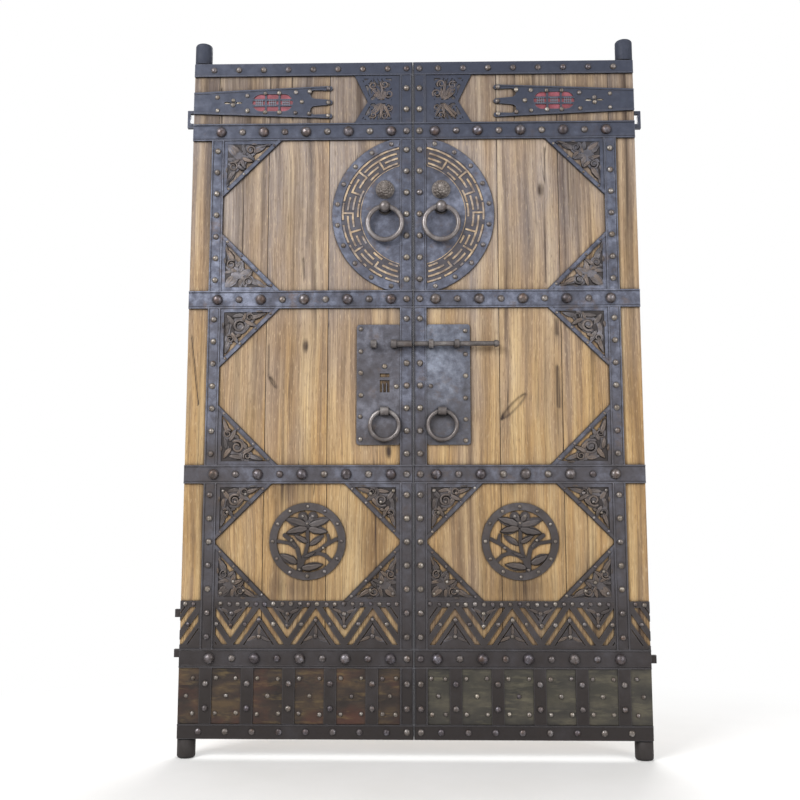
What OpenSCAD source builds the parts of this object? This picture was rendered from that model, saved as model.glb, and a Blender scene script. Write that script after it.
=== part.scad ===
// Pair of plank gate leaves on corner pivots, with wrought-iron fittings.
// Origin at the middle of the foot, +X to the right, +Z up, the ironed front towards -Y.
// Each leaf is drawn from its outer edge (u = 0) to its meeting edge (u = leaf_w), foot at height 0.

/* [Leaf] */
// Width of one leaf
leaf_w = 735; // [725:1:750]
// Height of one leaf
leaf_h = 2200; // [2190:1:2230]
// Thickness of the boards
board_t = 45; // [42:1:55]
// Gap between the two leaves
leaf_gap = 1.2; // [1.2:0.1:3]
// Width of the hinge stile
stile_w = 85; // [82:1:88]
// Width of the first board
board_a_w = 170; // [160:1:180]
// Width of the second board
board_b_w = 200; // [190:1:210]
// Open joint between boards
board_joint = 1; // [0.6:0.1:2]
// Length of the tongue on a board's edge
tongue_l = 9; // [6:1:12]
// Thickness of the tongue
tongue_t = 11; // [9:1:14]

/* [Battens] */
// Height of a batten on the back
batten_w = 60; // [52:1:70]
// How far a batten stands off the back
batten_d = 32; // [25:1:40]
// Depth of the sliding dovetail
dovetail_d = 12; // [10:1:15]

/* [Pivots] */
// Radius of the pivot pin
pin_r = 15; // [13:0.5:17]
// Length of the pin beyond the collar
pin_l = 48; // [45:1:52]
// Length of the pivot driven into the stile
tang_l = 90; // [70:1:120]
// Outer radius of a pivot cup
cup_r = 28.5; // [27:0.5:30]
// How far a cup stands out past the leaf's outer edge
cup_out = 4; // [2:0.5:4.5]
// Thickness of a foot cup's closed end
cup_end = 9; // [8:0.5:12]
// Thickness of a head cup's closed end
head_cup_end = 26; // [20:1:30]
// Radius of the rounded end of a cup
cup_round = 8; // [5:0.5:10]
// Radius of the thrust collar
collar_r = 23.5; // [22:0.5:24.5]
// Thickness of the thrust collar
collar_t = 3; // [2:0.5:5]

/* [Iron] */
// Thickness of straps and shoes
strap_t = 5; // [4:0.5:6]
// Thickness of plates and pierced work
plate_t = 4; // [3:0.5:5]
// Thickness of the kick sheet and inlays
sheet_t = 2; // [1.5:0.1:2.4]
// Height of raised beads and relief
bead_h = 1.6; // [1:0.1:2.4]
// Width of a raised bead
bead_w = 4; // [3:0.5:5]
// Height of the front and back flanges of the shoes
shoe_h = 45; // [40:1:50]
// Height of a cross strap
strap_w = 58; // [54:1:60]
// Centre of the top cross strap above the foot, as a share of the leaf's height
strap_1_part = 0.8905; // [0.886:0.0001:0.894]
// Centre of the second cross strap, as a share of the leaf's height
strap_2_part = 0.6309; // [0.627:0.0001:0.635]
// Centre of the third cross strap, as a share of the leaf's height
strap_3_part = 0.3718; // [0.369:0.0001:0.375]
// Centre of the lowest cross strap, as a share of the leaf's height
strap_4_part = 0.1109; // [0.109:0.0001:0.114]
// Width of the upright strap at the hinge side
hinge_strap_w = 40; // [36:1:44]
// Centre of the hinge-side strap from the outer edge
hinge_strap_u = 85; // [82:1:88]
// Width of the upright strap at the meeting edge
meeting_w = 42; // [40:1:44]

/* [Studs] */
// Diameter of a large stud
big_stud_d = 34; // [30:1:36]
// Diameter of a small stud
stud_d = 22; // [18:1:23]
// Pitch between like studs along a cross strap, as a share of the leaf's width
stud_pitch_part = 0.1932; // [0.188:0.0001:0.195]
// Distance from the outer edge to the first large stud
first_stud_u = 95; // [92:1:98]

/* [Fishtail strap] */
// Length of the fishtail strap, as a share of the leaf's width
tail_l_part = 0.634; // [0.612:0.0001:0.646]
// Height of the strap at the outer edge
tail_root_h = 74; // [70:1:80]
// Height of the strap at its tips
tail_tip_h = 112; // [108:1:116]
// Height of the middle of the fishtail strap and of the V notch, as a share of the leaf's height
tail_part = 0.9373; // [0.935:0.0001:0.942]
// Length of the prongs
prong_l = 72; // [66:1:78]
// Width of a prong at its tip
prong_w = 15; // [13:1:17]
// Length of the oval lattice opening
oval_l = 136; // [130:1:140]
// Height of the oval lattice opening
oval_h = 60; // [56:1:62]
// Centre of the oval from the outer edge, as a share of the leaf's width
oval_part = 0.3605; // [0.354:0.0001:0.367]

/* [Scroll work] */
// Leg of a corner bracket, as a share of the leaf's height
bracket_part = 0.0882; // [0.085:0.0001:0.09]
// Leg of a lower bracket, as a share of the leaf's height
low_bracket_part = 0.0809; // [0.079:0.0001:0.083]
// Width of a bracket's leg bars
leg_bar = 12; // [10:0.5:14]
// Width of a bracket's slanting bar
slant_bar = 14; // [12:0.5:16]
// Thickness of the sheet behind the scroll work
back_t = 1.6; // [1.2:0.1:2]
// Width of the scroll plate at the top of the meeting edge
scroll_plate_w = 152; // [145:1:160]
// Depth of the scroll plate's V notch
notch_d = 44; // [40:1:50]

/* [Roundel] */
// Outer radius of the roundel
roundel_r = 267; // [262:1:272]
// Height of the roundel's centre above the foot, as a share of the leaf's height
roundel_part = 0.76; // [0.758:0.0001:0.762]
// Width of the roundel's rim
rim_w = 30; // [28:1:32]
// Width of the key-fret ring
fret_w = 60; // [56:1:64]
// Width of a key-fret line
fret_line = 5; // [4.5:0.1:5.5]
// Diameter of the foliate boss
boss_d = 57; // [52:1:60]
// Height of the boss above the ring's turning axis
boss_rise = 63; // [60:1:68]

/* [Ring pulls] */
// Distance from the meeting edge to the rings' centres
ring_m = 92; // [90:1:95]
// Height of the upper ring's turning axis, as a share of the leaf's height
ring_part = 0.77; // [0.768:0.0001:0.772]
// Mean radius of the upper ring
ring_r = 56; // [52:0.5:58]
// Radius of the upper ring's bar
ring_bar = 8; // [7:0.25:8.5]
// Radius of the ring-pull knob
knob_r = 19; // [18.5:0.25:20]
// Distance of the upper ring from the boards
ring_off = 23; // [22:0.5:26]
// Height of the lower ring's turning axis, as a share of the leaf's height
low_ring_part = 0.4632; // [0.46:0.0001:0.466]
// Mean radius of the lower ring
low_ring_r = 46; // [43:0.5:47]
// Radius of the lower ring's bar
low_ring_bar = 6.5; // [5.5:0.25:7]
// Length of the lower staple
staple_l = 26; // [20:1:28]
// Distance of the lower ring from its plate
staple_rise = 15.5; // [15:0.5:18]
// Wall of the lower staple
staple_wall = 4.5; // [3.5:0.5:6]

/* [Lock] */
// Width of a lock plate
lock_w = 140; // [135:1:145]
// Height of a lock plate, as a share of the leaf's height
lock_h_part = 0.1777; // [0.173:0.0001:0.18]
// Foot of a lock plate above the leaf's foot, as a share of the leaf's height
lock_part = 0.4145; // [0.411:0.0001:0.416]
// Corner radius of a lock plate
lock_round = 9; // [6:1:12]
// Width of the keyhole slots
slot_w = 32; // [28:1:36]
// Foot of the lower keyhole slot above the plate's foot
slot_rise = 169; // [160:1:175]
// Distances of the bolt's two guides from the meeting edge
guide_1_m = 57; // [53:1:60]
guide_2_m = 140; // [136:1:144]
// Distances of the keeper's two eyes from the meeting edge
eye_1_m = 62; // [58:1:66]
eye_2_m = 127; // [120:1:130]
// Height of the bolt's axis, as a share of the leaf's height
bolt_part = 0.5618; // [0.559:0.0001:0.565]
// Distance of the bolt's axis from the boards
bolt_off = 25; // [24:0.5:28]
// Radius of the bolt rod
bolt_r = 8; // [7:0.25:8.5]
// Length of the bolt rod without its knob
bolt_l = 257; // [252:1:264]
// How far the drawn bolt stays behind the meeting edge
bolt_back = 3; // [2.5:0.5:5]
// Length of the bolt's end knob
bolt_knob_l = 16; // [14:1:18]
// Width of a bolt guide
guide_w = 15; // [13:1:17]
// Wall of the guides and of the keeper's eyes
guide_wall = 6; // [5:0.5:7]

/* [Medallion] */
// Outer radius of the medallion
medal_r = 121; // [116:1:124]
// Width of the medallion's ring
medal_rim = 23; // [20:1:25]
// Height of the medallion's centre, as a share of the leaf's height
medal_part = 0.2755; // [0.272:0.0001:0.278]

/* [Frieze and kick zone] */
// Height of the frieze's studded top bar above the foot, as a share of the leaf's height
frieze_top_part = 0.1909; // [0.188:0.0001:0.193]
// Height of the studded top bar
frieze_bar = 18; // [16:1:20]
// Rise of the zigzag from valley to peak, as a share of the height between the rails
zig_steep = 1.06; // [1.02:0.01:1.1]
// Upright thickness of the zigzag bar, as a share of that height
zig_bar_part = 0.24; // [0.2:0.01:0.26]
// Upright width of the open stripes beside the bar, as a share of that height
zig_slot_part = 0.24; // [0.2:0.01:0.26]
// Upright thickness of the triangles' outer bands, as a share of that height
zig_band_part = 0.15; // [0.13:0.01:0.17]
// Upright width of the slits inside the triangles, as a share of that height
zig_slit_part = 0.06; // [0.05:0.01:0.08]
// Pitch of the zigzag's peaks, as a share of the leaf's width
zig_pitch_part = 0.2429; // [0.237:0.0001:0.246]
// Distance from the outer edge to the first peak
first_peak_u = 71; // [68:1:74]
// Width of a kick strip
kick_strip_w = 38; // [34:1:42]
// Pitch of the kick strips, as a share of the leaf's width
kick_pitch_part = 0.1769; // [0.173:0.0001:0.18]

/* [Edge lugs] */
// How far a lug stands out of the outer edge
lug_reach = 21; // [15:1:25]
// Thickness of a lug
lug_t = 14; // [10:1:18]
// How far an edge loop stands out of the outer edge
loop_reach = 25; // [23:1:28]
// Thickness of an edge loop's bar
loop_bar = 10; // [8:0.5:12]
// Height of an edge loop
loop_h = 60; // [50:1:66]
// Height of a plain lug
lug_h = 25; // [20:1:30]
// Height of the left edge loop above the foot, as a share of the leaf's height
left_loop_part = 0.9159; // [0.909:0.0001:0.923]
// Height of the left leaf's upper lug, as a share of the leaf's height
left_lug_1_part = 0.1727; // [0.168:0.0001:0.177]
// Height of the left leaf's lower lug, as a share of the leaf's height
left_lug_2_part = 0.1164; // [0.112:0.0001:0.121]
// Height of the right edge loop, as a share of the leaf's height
right_loop_part = 0.9091; // [0.905:0.0001:0.918]
// Height of the right leaf's lug, as a share of the leaf's height
right_lug_part = 0.11; // [0.106:0.0001:0.115]

/* [Clearances] */
// Radial play of pins that turn or slide in a fit
run_clear = 0.05; // [0.02:0.01:0.1]
// Play around a ring in its eye
ring_clear = 0.3; // [0.25:0.05:0.6]
// End play between a pivot and its cup
end_play = 0.3; // [0.2:0.1:0.8]
// Seam between neighbouring iron pieces
seam = 0.4; // [0.3:0.1:0.8]
// Play around wood joints
wood_play = 0.2; // [0.1:0.05:0.4]

/* [Hidden] */
$fn = 64;
eps = 0.5;
half_t = board_t / 2;
strap_1_v = strap_1_part * leaf_h;
strap_2_v = strap_2_part * leaf_h;
strap_3_v = strap_3_part * leaf_h;
strap_4_v = strap_4_part * leaf_h;
tail_v = tail_part * leaf_h;
roundel_v = roundel_part * leaf_h;
ring_v = ring_part * leaf_h;
low_ring_v = low_ring_part * leaf_h;
lock_v = lock_part * leaf_h;
lock_h = lock_h_part * leaf_h;
bolt_v = bolt_part * leaf_h;
medal_v = medal_part * leaf_h;
frieze_top_v = frieze_top_part * leaf_h;
left_loop_v = left_loop_part * leaf_h;
left_lug_1_v = left_lug_1_part * leaf_h;
left_lug_2_v = left_lug_2_part * leaf_h;
right_loop_v = right_loop_part * leaf_h;
right_lug_v = right_lug_part * leaf_h;
bracket_leg = bracket_part * leaf_h;
low_bracket_leg = low_bracket_part * leaf_h;
stud_pitch = stud_pitch_part * leaf_w;
tail_l = tail_l_part * leaf_w;
oval_u = oval_part * leaf_w;
zig_pitch = zig_pitch_part * leaf_w;
kick_pitch = kick_pitch_part * leaf_w;
foot_z = collar_t + end_play + pin_l + cup_end;
pivot_u = cup_r - cup_out;
meeting_u = leaf_w - meeting_w;
cross_v = [strap_4_v, strap_3_v, strap_2_v, strap_1_v];
board_top = leaf_h - strap_t;
bare_lo = shoe_h;
bare_hi = leaf_h - shoe_h;
hinge_in = hinge_strap_u + hinge_strap_w / 2;
function ring_drop(r, bar, half) = r - sqrt(pow(r - bar, 2) - half * half);
knob_half = sqrt(pow(knob_r, 2) - pow(1.33 * ring_bar, 2));
knob_bore = ring_drop(ring_r, ring_bar, knob_half) + ring_clear;
staple_bore = ring_drop(low_ring_r, low_ring_bar, staple_l / 2) + ring_clear;
staple_off = plate_t + staple_rise;
ring_u = leaf_w - ring_m;
boss_v = ring_v + boss_rise;
iron = [0.36, 0.38, 0.43];
dark_iron = [0.27, 0.27, 0.30];
worn_iron = [0.45, 0.46, 0.49];
honey = [0.72, 0.58, 0.40];
grey_wood = [0.60, 0.51, 0.41];
red_paint = [0.70, 0.25, 0.25];
patina = [0.35, 0.29, 0.22];

// Puts a leaf's piece in its place: the left leaf as drawn, the right one mirrored.
module left_leaf() {
    translate([-leaf_gap / 2 - leaf_w, 0, foot_z]) children();
}

module right_leaf() {
    mirror([1, 0, 0]) left_leaf() children();
}

// Lays a drawing in (u, height) on the front of the boards, raised by off, growing outwards.
module on_front(off = 0) {
    translate([0, -half_t - off, 0]) rotate([90, 0, 0]) children();
}

module plate(t = plate_t, off = 0) {
    on_front(off) linear_extrude(t) children();
}

// Runs a profile drawn in (y, z) along +X.
module along_x(l) {
    rotate([90, 0, 90]) linear_extrude(l) children();
}

module block(u, y, v) {
    translate([u[0], y[0], v[0]]) cube([u[1] - u[0], y[1] - y[0], v[1] - v[0]]);
}

module dome(d, h) {
    cap_r = (d * d / 4 + h * h) / (2 * h);
    intersection() {
        translate([0, 0, h - cap_r]) sphere(cap_r);
        cylinder(d = d + eps, h = h);
    }
}

// Flat shapes used by the pierced work.
module lens(l, w) {
    big_r = (l * l + w * w) / (4 * w);
    intersection() {
        translate([big_r - w / 2, 0]) circle(big_r);
        translate([w / 2 - big_r, 0]) circle(big_r);
    }
}

module annulus(r_out, r_in) {
    difference() {
        circle(r_out);
        circle(r_in);
    }
}

module wedge(a0, a1, r) {
    mid = (a0 + a1) / 2;
    far = r / cos((a1 - a0) / 4);
    polygon([
        [0, 0],
        [far * cos(a0), far * sin(a0)],
        [far * cos(mid), far * sin(mid)],
        [far * cos(a1), far * sin(a1)]
    ]);
}

module arc(r, w, a0, a1) {
    intersection() {
        annulus(r + w / 2, r - w / 2);
        wedge(a0, a1, r + w);
    }
}

module ray(a, r0, r1, w) {
    rotate(a) translate([r0, -w / 2]) square([r1 - r0, w]);
}

module bar(p, q, w) {
    d = q - p;
    translate(p) rotate(atan2(d[1], d[0])) translate([0, -w / 2]) square([norm(d), w]);
}

// An open ring whose end turns in to an eye.
module curl(r, w, a0, a1) {
    arc(r, w, a0, a1);
    bar([0, 0], [r * cos(a1 - 8), r * sin(a1 - 8)], w * 0.8);
    circle(w * 1.1);
}

module stadium(l, h) {
    square([l - h, h], center = true);
    for (s = [-1, 1]) translate([s * (l - h) / 2, 0]) circle(h / 2);
}

// Boards, joined by tongues, crossed on the back by dovetailed battens.
module dovetail(play = 0) {
    wide = batten_w / 2 - 4 + play;
    narrow = wide - 6;
    polygon([
        [half_t - dovetail_d - play, -wide], [half_t + eps, -narrow],
        [half_t + eps, narrow], [half_t - dovetail_d - play, wide]
    ]);
}

module batten_profile() {
    edge = half_t + batten_d;
    round_off = 6;
    dovetail();
    polygon([
        [half_t, -batten_w / 2], [edge - round_off, -batten_w / 2], [edge, round_off - batten_w / 2],
        [edge, batten_w / 2 - round_off], [edge - round_off, batten_w / 2], [half_t, batten_w / 2]
    ]);
}

module board(u0, u1, tongue = true, groove = true) {
    difference() {
        union() {
            block([u0, u1], [-half_t, half_t], [strap_t, board_top]);
            if (tongue)
                block([u1 - eps, u1 + tongue_l], [-tongue_t / 2, tongue_t / 2], [strap_t, board_top]);
        }
        if (groove)
            block(
                [u0 - eps, u0 + tongue_l + wood_play],
                [-tongue_t / 2 - wood_play, tongue_t / 2 + wood_play],
                [0, leaf_h]
            );
        for (v = cross_v) translate([u0 - eps, 0, v]) along_x(u1 - u0 + 2 * tongue_l) dovetail(wood_play);
    }
}

function board_edge(i) = [0, stile_w, stile_w + board_a_w, stile_w + board_a_w + board_b_w, leaf_w][i];

module stile() {
    color(honey) difference() {
        board(0, stile_w - board_joint, groove = false);
        translate([pivot_u, 0, leaf_h - tang_l - 1]) cylinder(r = pin_r + wood_play, h = tang_l + 2);
        translate([pivot_u, 0, -1]) cylinder(r = pin_r + wood_play, h = tang_l + 2);
    }
}

module board_a() {
    color(grey_wood) board(board_edge(1), board_edge(2) - board_joint);
}

module board_b() {
    color(honey) board(board_edge(2), board_edge(3) - board_joint);
}

module board_c() {
    color(grey_wood) board(board_edge(3), leaf_w, tongue = false);
}

module battens() {
    inset = 18;
    color(grey_wood)
        for (v = cross_v) translate([inset, 0, v]) along_x(leaf_w - 2 * inset) batten_profile();
}

// Pivots, and the fixed cups that they turn in.
module pivot() {
    tip = 2;
    translate([0, 0, -tang_l]) cylinder(r = pin_r, h = tang_l + collar_t + pin_l - tip);
    translate([0, 0, collar_t + pin_l - tip]) cylinder(r1 = pin_r, r2 = pin_r - tip, h = tip);
    cylinder(r = collar_r, h = collar_t);
}

module pivots() {
    color(dark_iron) {
        translate([pivot_u, 0, leaf_h]) pivot();
        translate([pivot_u, 0, 0]) mirror([0, 0, 1]) pivot();
    }
}

module cup(end) {
    rotate_extrude() {
        translate([pin_r + run_clear, 0]) square([cup_r - pin_r - run_clear, pin_l]);
        translate([0, pin_l]) square([cup_r - cup_round, end]);
        translate([0, pin_l]) square([cup_r, end - cup_round]);
        translate([cup_r - cup_round, pin_l + end - cup_round]) intersection() {
            circle(cup_round);
            square(cup_round);
        }
    }
}

module leaf_cups() {
    translate([pivot_u, 0, leaf_h + collar_t + end_play]) cup(head_cup_end);
    translate([pivot_u, 0, -collar_t - end_play]) mirror([0, 0, 1]) cup(cup_end);
}

// Straps, shoes and kick zone.
module strap_profile(w) {
    ridge = w / 2 - 1.3 * bead_w;
    ridge_w = 0.7 * bead_w;
    polygon([
        [-w / 2, 0], [w / 2, 0],
        [w / 2, strap_t + bead_h], [w / 2 - bead_w, strap_t + bead_h],
        [w / 2 - bead_w, strap_t], [ridge, strap_t],
        [ridge - ridge_w / 2, strap_t + bead_h / 2], [ridge - ridge_w, strap_t],
        [ridge_w - ridge, strap_t], [ridge_w / 2 - ridge, strap_t + bead_h / 2],
        [-ridge, strap_t], [bead_w - w / 2, strap_t],
        [bead_w - w / 2, strap_t + bead_h], [-w / 2, strap_t + bead_h]
    ]);
}

module strap_across(u0, u1, v) {
    translate([u0, -half_t, v]) along_x(u1 - u0) rotate(90) strap_profile(strap_w);
}

module strap_up(u, w, v0, v1) {
    translate([u, -half_t, v0]) linear_extrude(v1 - v0) mirror([0, 1]) strap_profile(w);
}

module shoe() {
    difference() {
        block([0, leaf_w], [-half_t - strap_t, half_t + strap_t], [0, shoe_h - seam]);
        block([-1, leaf_w + 1], [-half_t, half_t], [strap_t, shoe_h]);
        translate([pivot_u, 0, -1]) cylinder(r = pin_r + wood_play, h = strap_t + 2);
    }
    block(
        [0, leaf_w], [-half_t - strap_t - bead_h, -half_t - strap_t + eps],
        [shoe_h - seam - bead_w, shoe_h - seam]
    );
}

module shoes() {
    color(iron) {
        shoe();
        translate([0, 0, leaf_h]) mirror([0, 0, 1]) shoe();
    }
}

module cross_straps() {
    color(iron) for (v = cross_v) strap_across(0, leaf_w, v);
}

// Open heights between the cross straps, from the lowest field to the topmost.
function field_lo(i) = i == 0 ? bare_lo : cross_v[i - 1] + strap_w / 2;
function field_hi(i) = i == 4 ? bare_hi : cross_v[i] - strap_w / 2;

module upright_straps() {
    color(iron) {
        for (i = [0:4])
            strap_up(leaf_w - meeting_w / 2, meeting_w, field_lo(i) + seam, field_hi(i) - seam);
        for (i = [1:3]) strap_up(hinge_strap_u, hinge_strap_w, field_lo(i) + seam, field_hi(i) - seam);
    }
}

module kick_sheet() {
    lo = field_lo(0) + seam;
    color(patina) plate(sheet_t) translate([0, lo]) square([meeting_u - seam, field_hi(0) - seam - lo]);
}

function kick_strip_u(i) = hinge_strap_u + i * kick_pitch;

module kick_strips() {
    lo = field_lo(0) + seam;
    color(dark_iron) plate(plate_t - 1, sheet_t) for (i = [0:4])
        translate([kick_strip_u(i) - kick_strip_w / 2, lo])
            square([kick_strip_w, field_hi(0) - seam - lo]);
}

// Fishtail strap with a lattice opening, and the painted inlay behind the lattice.
module tail_outline() {
    root = tail_root_h / 2;
    tip = tail_tip_h / 2;
    body_l = tail_l - prong_w / 2;
    difference() {
        polygon([[0, -root], [body_l, -tip], [body_l, tip], [0, root]]);
        for (s = [-1, 1]) {
            translate([tail_l - prong_l + 12, s * tip / 2]) circle(15);
            polygon([
                [tail_l - prong_l + 12, s * (tip / 2 - 15)], [tail_l, s * prong_w / 2],
                [tail_l, s * (tip - prong_w)], [tail_l - prong_l + 12, s * (tip / 2 + 15)]
            ]);
        }
    }
    for (y = [prong_w / 2 - tip, 0, tip - prong_w / 2])
        translate([body_l, y]) circle(prong_w / 2);
}

module tail_edges() {
    root = tail_root_h / 2;
    tip = tail_tip_h / 2;
    for (s = [-1, 1]) polygon([
        [0, s * root], [tail_l - prong_w, s * (tip - 0.3)],
        [tail_l - prong_w, s * (tip - bead_w)], [0, s * (root - 1.6 * bead_w)]
    ]);
}

module lattice_bars() {
    bar_w = 6;
    for (x = [-oval_l / 6, oval_l / 6]) translate([x, 0]) square([bar_w, oval_h], center = true);
    for (y = [-oval_h / 6, oval_h / 6]) translate([0, y]) square([oval_l, bar_w], center = true);
}

module fishtail() {
    slot_u = 132;
    color(iron) {
        plate(strap_t) translate([0, tail_v]) difference() {
            tail_outline();
            translate([oval_u, 0]) stadium(oval_l, oval_h);
            for (s = [-1, 1]) translate([slot_u + s * 19, 0]) rotate(90) lens(26, 9);
            translate([slot_u, 0]) for (a = [0:90:270]) rotate(a + 45) translate([5, 0]) circle(2.2);
        }
        plate(bead_h + eps, strap_t - eps) translate([0, tail_v]) tail_edges();
        plate(strap_t - sheet_t - seam, sheet_t + seam) translate([oval_u, tail_v]) intersection() {
            stadium(oval_l + eps, oval_h + eps);
            lattice_bars();
        }
    }
}

module inlay() {
    color(red_paint)
        plate(sheet_t) translate([oval_u, tail_v]) stadium(oval_l - 2 * seam, oval_h - 2 * seam);
}

// Pierced scroll work in a right-angled corner with legs of length l.
module corner_field(l) {
    reach = l - slant_bar * sqrt(2) - leg_bar;
    polygon([[leg_bar, leg_bar], [reach, leg_bar], [leg_bar, reach]]);
}

module corner_frame(l) {
    difference() {
        polygon([[0, 0], [l, 0], [0, l]]);
        corner_field(l);
    }
}

// Sheet behind the scroll work, with a scalloped edge that leaves a slit along the slanting bar.
module corner_back(l) {
    reach = 0.66 * l;
    scallops = 6;
    intersection() {
        translate([eps, eps]) square(l);
        union() {
            polygon([[0, 0], [reach, 0], [0, reach]]);
            for (i = [0:scallops - 1]) {
                t = (i + 0.5) / scallops;
                translate([reach * t, reach * (1 - t)]) circle(reach * 0.118);
            }
        }
    }
}

// A leafy scroll: rosette, two curls with leaves, and stems back to the corner.
module leaf_scroll(l) {
    hub = 0.30 * l;
    translate([hub, hub]) circle(0.088 * l);
    translate([hub, hub]) for (a = [0:60:300]) rotate(a) translate([0.105 * l, 0]) circle(0.036 * l);
    for (m = [0, 1]) mirror([m, -m]) {
        translate([0.46 * l, 0.165 * l]) curl(0.088 * l, 0.036 * l, -30, 250);
        translate([0.62 * l, 0.14 * l]) rotate(60) lens(0.26 * l, 0.085 * l);
        translate([0.19 * l, 0.14 * l]) rotate(-50) lens(0.26 * l, 0.09 * l);
        translate([0.33 * l, 0.13 * l]) rotate(-8) lens(0.20 * l, 0.06 * l);
        bar([leg_bar, leg_bar], [hub, hub], 0.05 * l);
        bar([0.55 * l, 0.13 * l], [0.80 * l, leg_bar], 0.035 * l);
        translate([0.40 * l, 0.33 * l]) rotate(-70) lens(0.22 * l, 0.075 * l);
        translate([0.47 * l, 0.29 * l]) rotate(-40) lens(0.18 * l, 0.06 * l);
        translate([0.36 * l, 0.215 * l]) rotate(25) lens(0.15 * l, 0.05 * l);
    }
}

// A wave scroll: one long curl with leaves on its outer side.
module wave_scroll(l) {
    translate([0.33 * l, 0.30 * l]) curl(0.115 * l, 0.045 * l, -140, 130);
    translate([0.42 * l, 0.40 * l]) arc(0.27 * l, 0.04 * l, 165, 262);
    translate([0.50 * l, 0.15 * l]) arc(0.075 * l, 0.036 * l, 20, 290);
    translate([0.17 * l, 0.52 * l]) arc(0.07 * l, 0.036 * l, 60, 330);
    translate([0.63 * l, 0.13 * l]) rotate(72) lens(0.27 * l, 0.07 * l);
    translate([0.13 * l, 0.64 * l]) rotate(18) lens(0.27 * l, 0.07 * l);
    translate([0.44 * l, 0.33 * l]) rotate(38) lens(0.20 * l, 0.07 * l);
    translate([0.17 * l, 0.20 * l]) rotate(-35) lens(0.22 * l, 0.08 * l);
    translate([0.30 * l, 0.13 * l]) rotate(80) lens(0.24 * l, 0.07 * l);
    translate([0.13 * l, 0.36 * l]) rotate(8) lens(0.22 * l, 0.06 * l);
    translate([0.51 * l, 0.25 * l]) rotate(-62) lens(0.24 * l, 0.07 * l);
    translate([0.25 * l, 0.50 * l]) rotate(-28) lens(0.24 * l, 0.07 * l);
    translate([0.33 * l, 0.30 * l]) circle(0.05 * l);
    translate([0.40 * l, 0.14 * l]) rotate(20) lens(0.16 * l, 0.05 * l);
}

module corner_scroll(l, wavy) {
    intersection() {
        polygon([[eps, eps], [l - eps, eps], [eps, l - eps]]);
        if (wavy) wave_scroll(l);
        else leaf_scroll(l);
    }
}

// One bracket: frame, pierced scroll and a raised slanting bar.
module bracket(corner, flip, l, wavy) {
    on_front() translate(corner) mirror([flip[0], 0]) mirror([0, flip[1]]) {
        linear_extrude(plate_t) corner_frame(l);
        linear_extrude(plate_t - 0.8) corner_scroll(l, wavy);
        linear_extrude(back_t) corner_back(l);
        translate([0, 0, plate_t - eps]) linear_extrude(bead_h + eps)
            polygon([
                [l - 2, 0], [0, l - 2],
                [0, l - slant_bar * sqrt(2) + 4], [l - slant_bar * sqrt(2) + 4, 0]
            ]);
    }
}

bracket_u = hinge_in + seam;
meeting_in = meeting_u - seam;

module upper_brackets() {
    color(iron) {
        bracket([bracket_u, field_hi(3) - seam], [0, 1], bracket_leg, false);
        bracket([bracket_u, field_lo(3) + seam], [0, 0], bracket_leg, false);
        bracket([bracket_u, field_hi(2) - seam], [0, 1], bracket_leg, true);
        bracket([bracket_u, field_lo(2) + seam], [0, 0], bracket_leg, true);
    }
}

module lower_brackets() {
    lo = frieze_top_v + seam;
    hi = field_hi(1) - seam;
    color(dark_iron) {
        bracket([bracket_u, hi], [0, 1], low_bracket_leg, true);
        bracket([bracket_u, lo], [0, 0], low_bracket_leg, false);
        bracket([meeting_in, hi], [1, 1], low_bracket_leg, true);
        bracket([meeting_in, lo], [1, 0], low_bracket_leg, false);
    }
}

// Scroll plate beside the meeting edge: two slanting bars meet at a V notch.
module scroll_half(h) {
    w = scroll_plate_w;
    strip = 28;
    rim = 11;
    difference() {
        polygon([[0, 0], [w - notch_d, 0], [w, h], [0, h]]);
        polygon([
            [strip, rim / 2], [w - notch_d - rim, rim / 2],
            [w - 2.2 * rim, h - rim], [strip, h - rim]
        ]);
    }
    intersection() {
        polygon([[eps, eps], [w - notch_d - eps, eps], [w - 4, h - eps], [eps, h - eps]]);
        union() {
            translate([strip + 0.14 * h, 0.20 * h]) annulus(0.17 * h, 0.09 * h);
            translate([strip + 0.15 * h, 0.64 * h]) annulus(0.19 * h, 0.10 * h);
            translate([0.56 * w, 0.40 * h]) curl(0.19 * h, 0.075 * h, -70, 200);
            bar([strip, 0.42 * h], [0.56 * w, 0.40 * h], 0.07 * h);
            bar([0.56 * w, 0.40 * h], [0.62 * w, h - rim / 2], 0.06 * h);
            bar([0.56 * w, 0.40 * h], [0.86 * w, h - rim / 2], 0.06 * h);
            bar([0.56 * w, 0.40 * h], [w - notch_d, rim / 2], 0.07 * h);
            for (x = [0.36, 0.45, 0.54]) translate([x * w, 0.88 * h]) rotate(-24) lens(0.52 * h, 0.11 * h);
            translate([0.74 * w, 0.74 * h]) rotate(52) lens(0.55 * h, 0.15 * h);
            translate([0.46 * w, 0.16 * h]) rotate(64) lens(0.50 * h, 0.13 * h);
        }
    }
}

module scroll_back(h) {
    w = scroll_plate_w;
    polygon([[eps, 0], [w - notch_d - eps, 0], [w - 4 * eps, h - eps], [eps, h - eps]]);
}

module scroll_plate() {
    upper = bare_hi - seam - tail_v;
    lower = tail_v - field_lo(4) - seam;
    color(iron) {
        plate() translate([meeting_in, tail_v]) mirror([1, 0]) {
            scroll_half(upper);
            mirror([0, 1]) scroll_half(lower);
        }
        plate(back_t) translate([meeting_in, tail_v]) mirror([1, 0]) {
            scroll_back(upper);
            mirror([0, 1]) scroll_back(lower);
        }
    }
}

// Half roundel: base plate, studded rim and a ring of key fret.
module half_roundel_field() {
    lo = field_lo(3) + seam;
    translate([meeting_in - roundel_r, lo]) square([roundel_r, field_hi(3) - seam - lo]);
}

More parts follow.
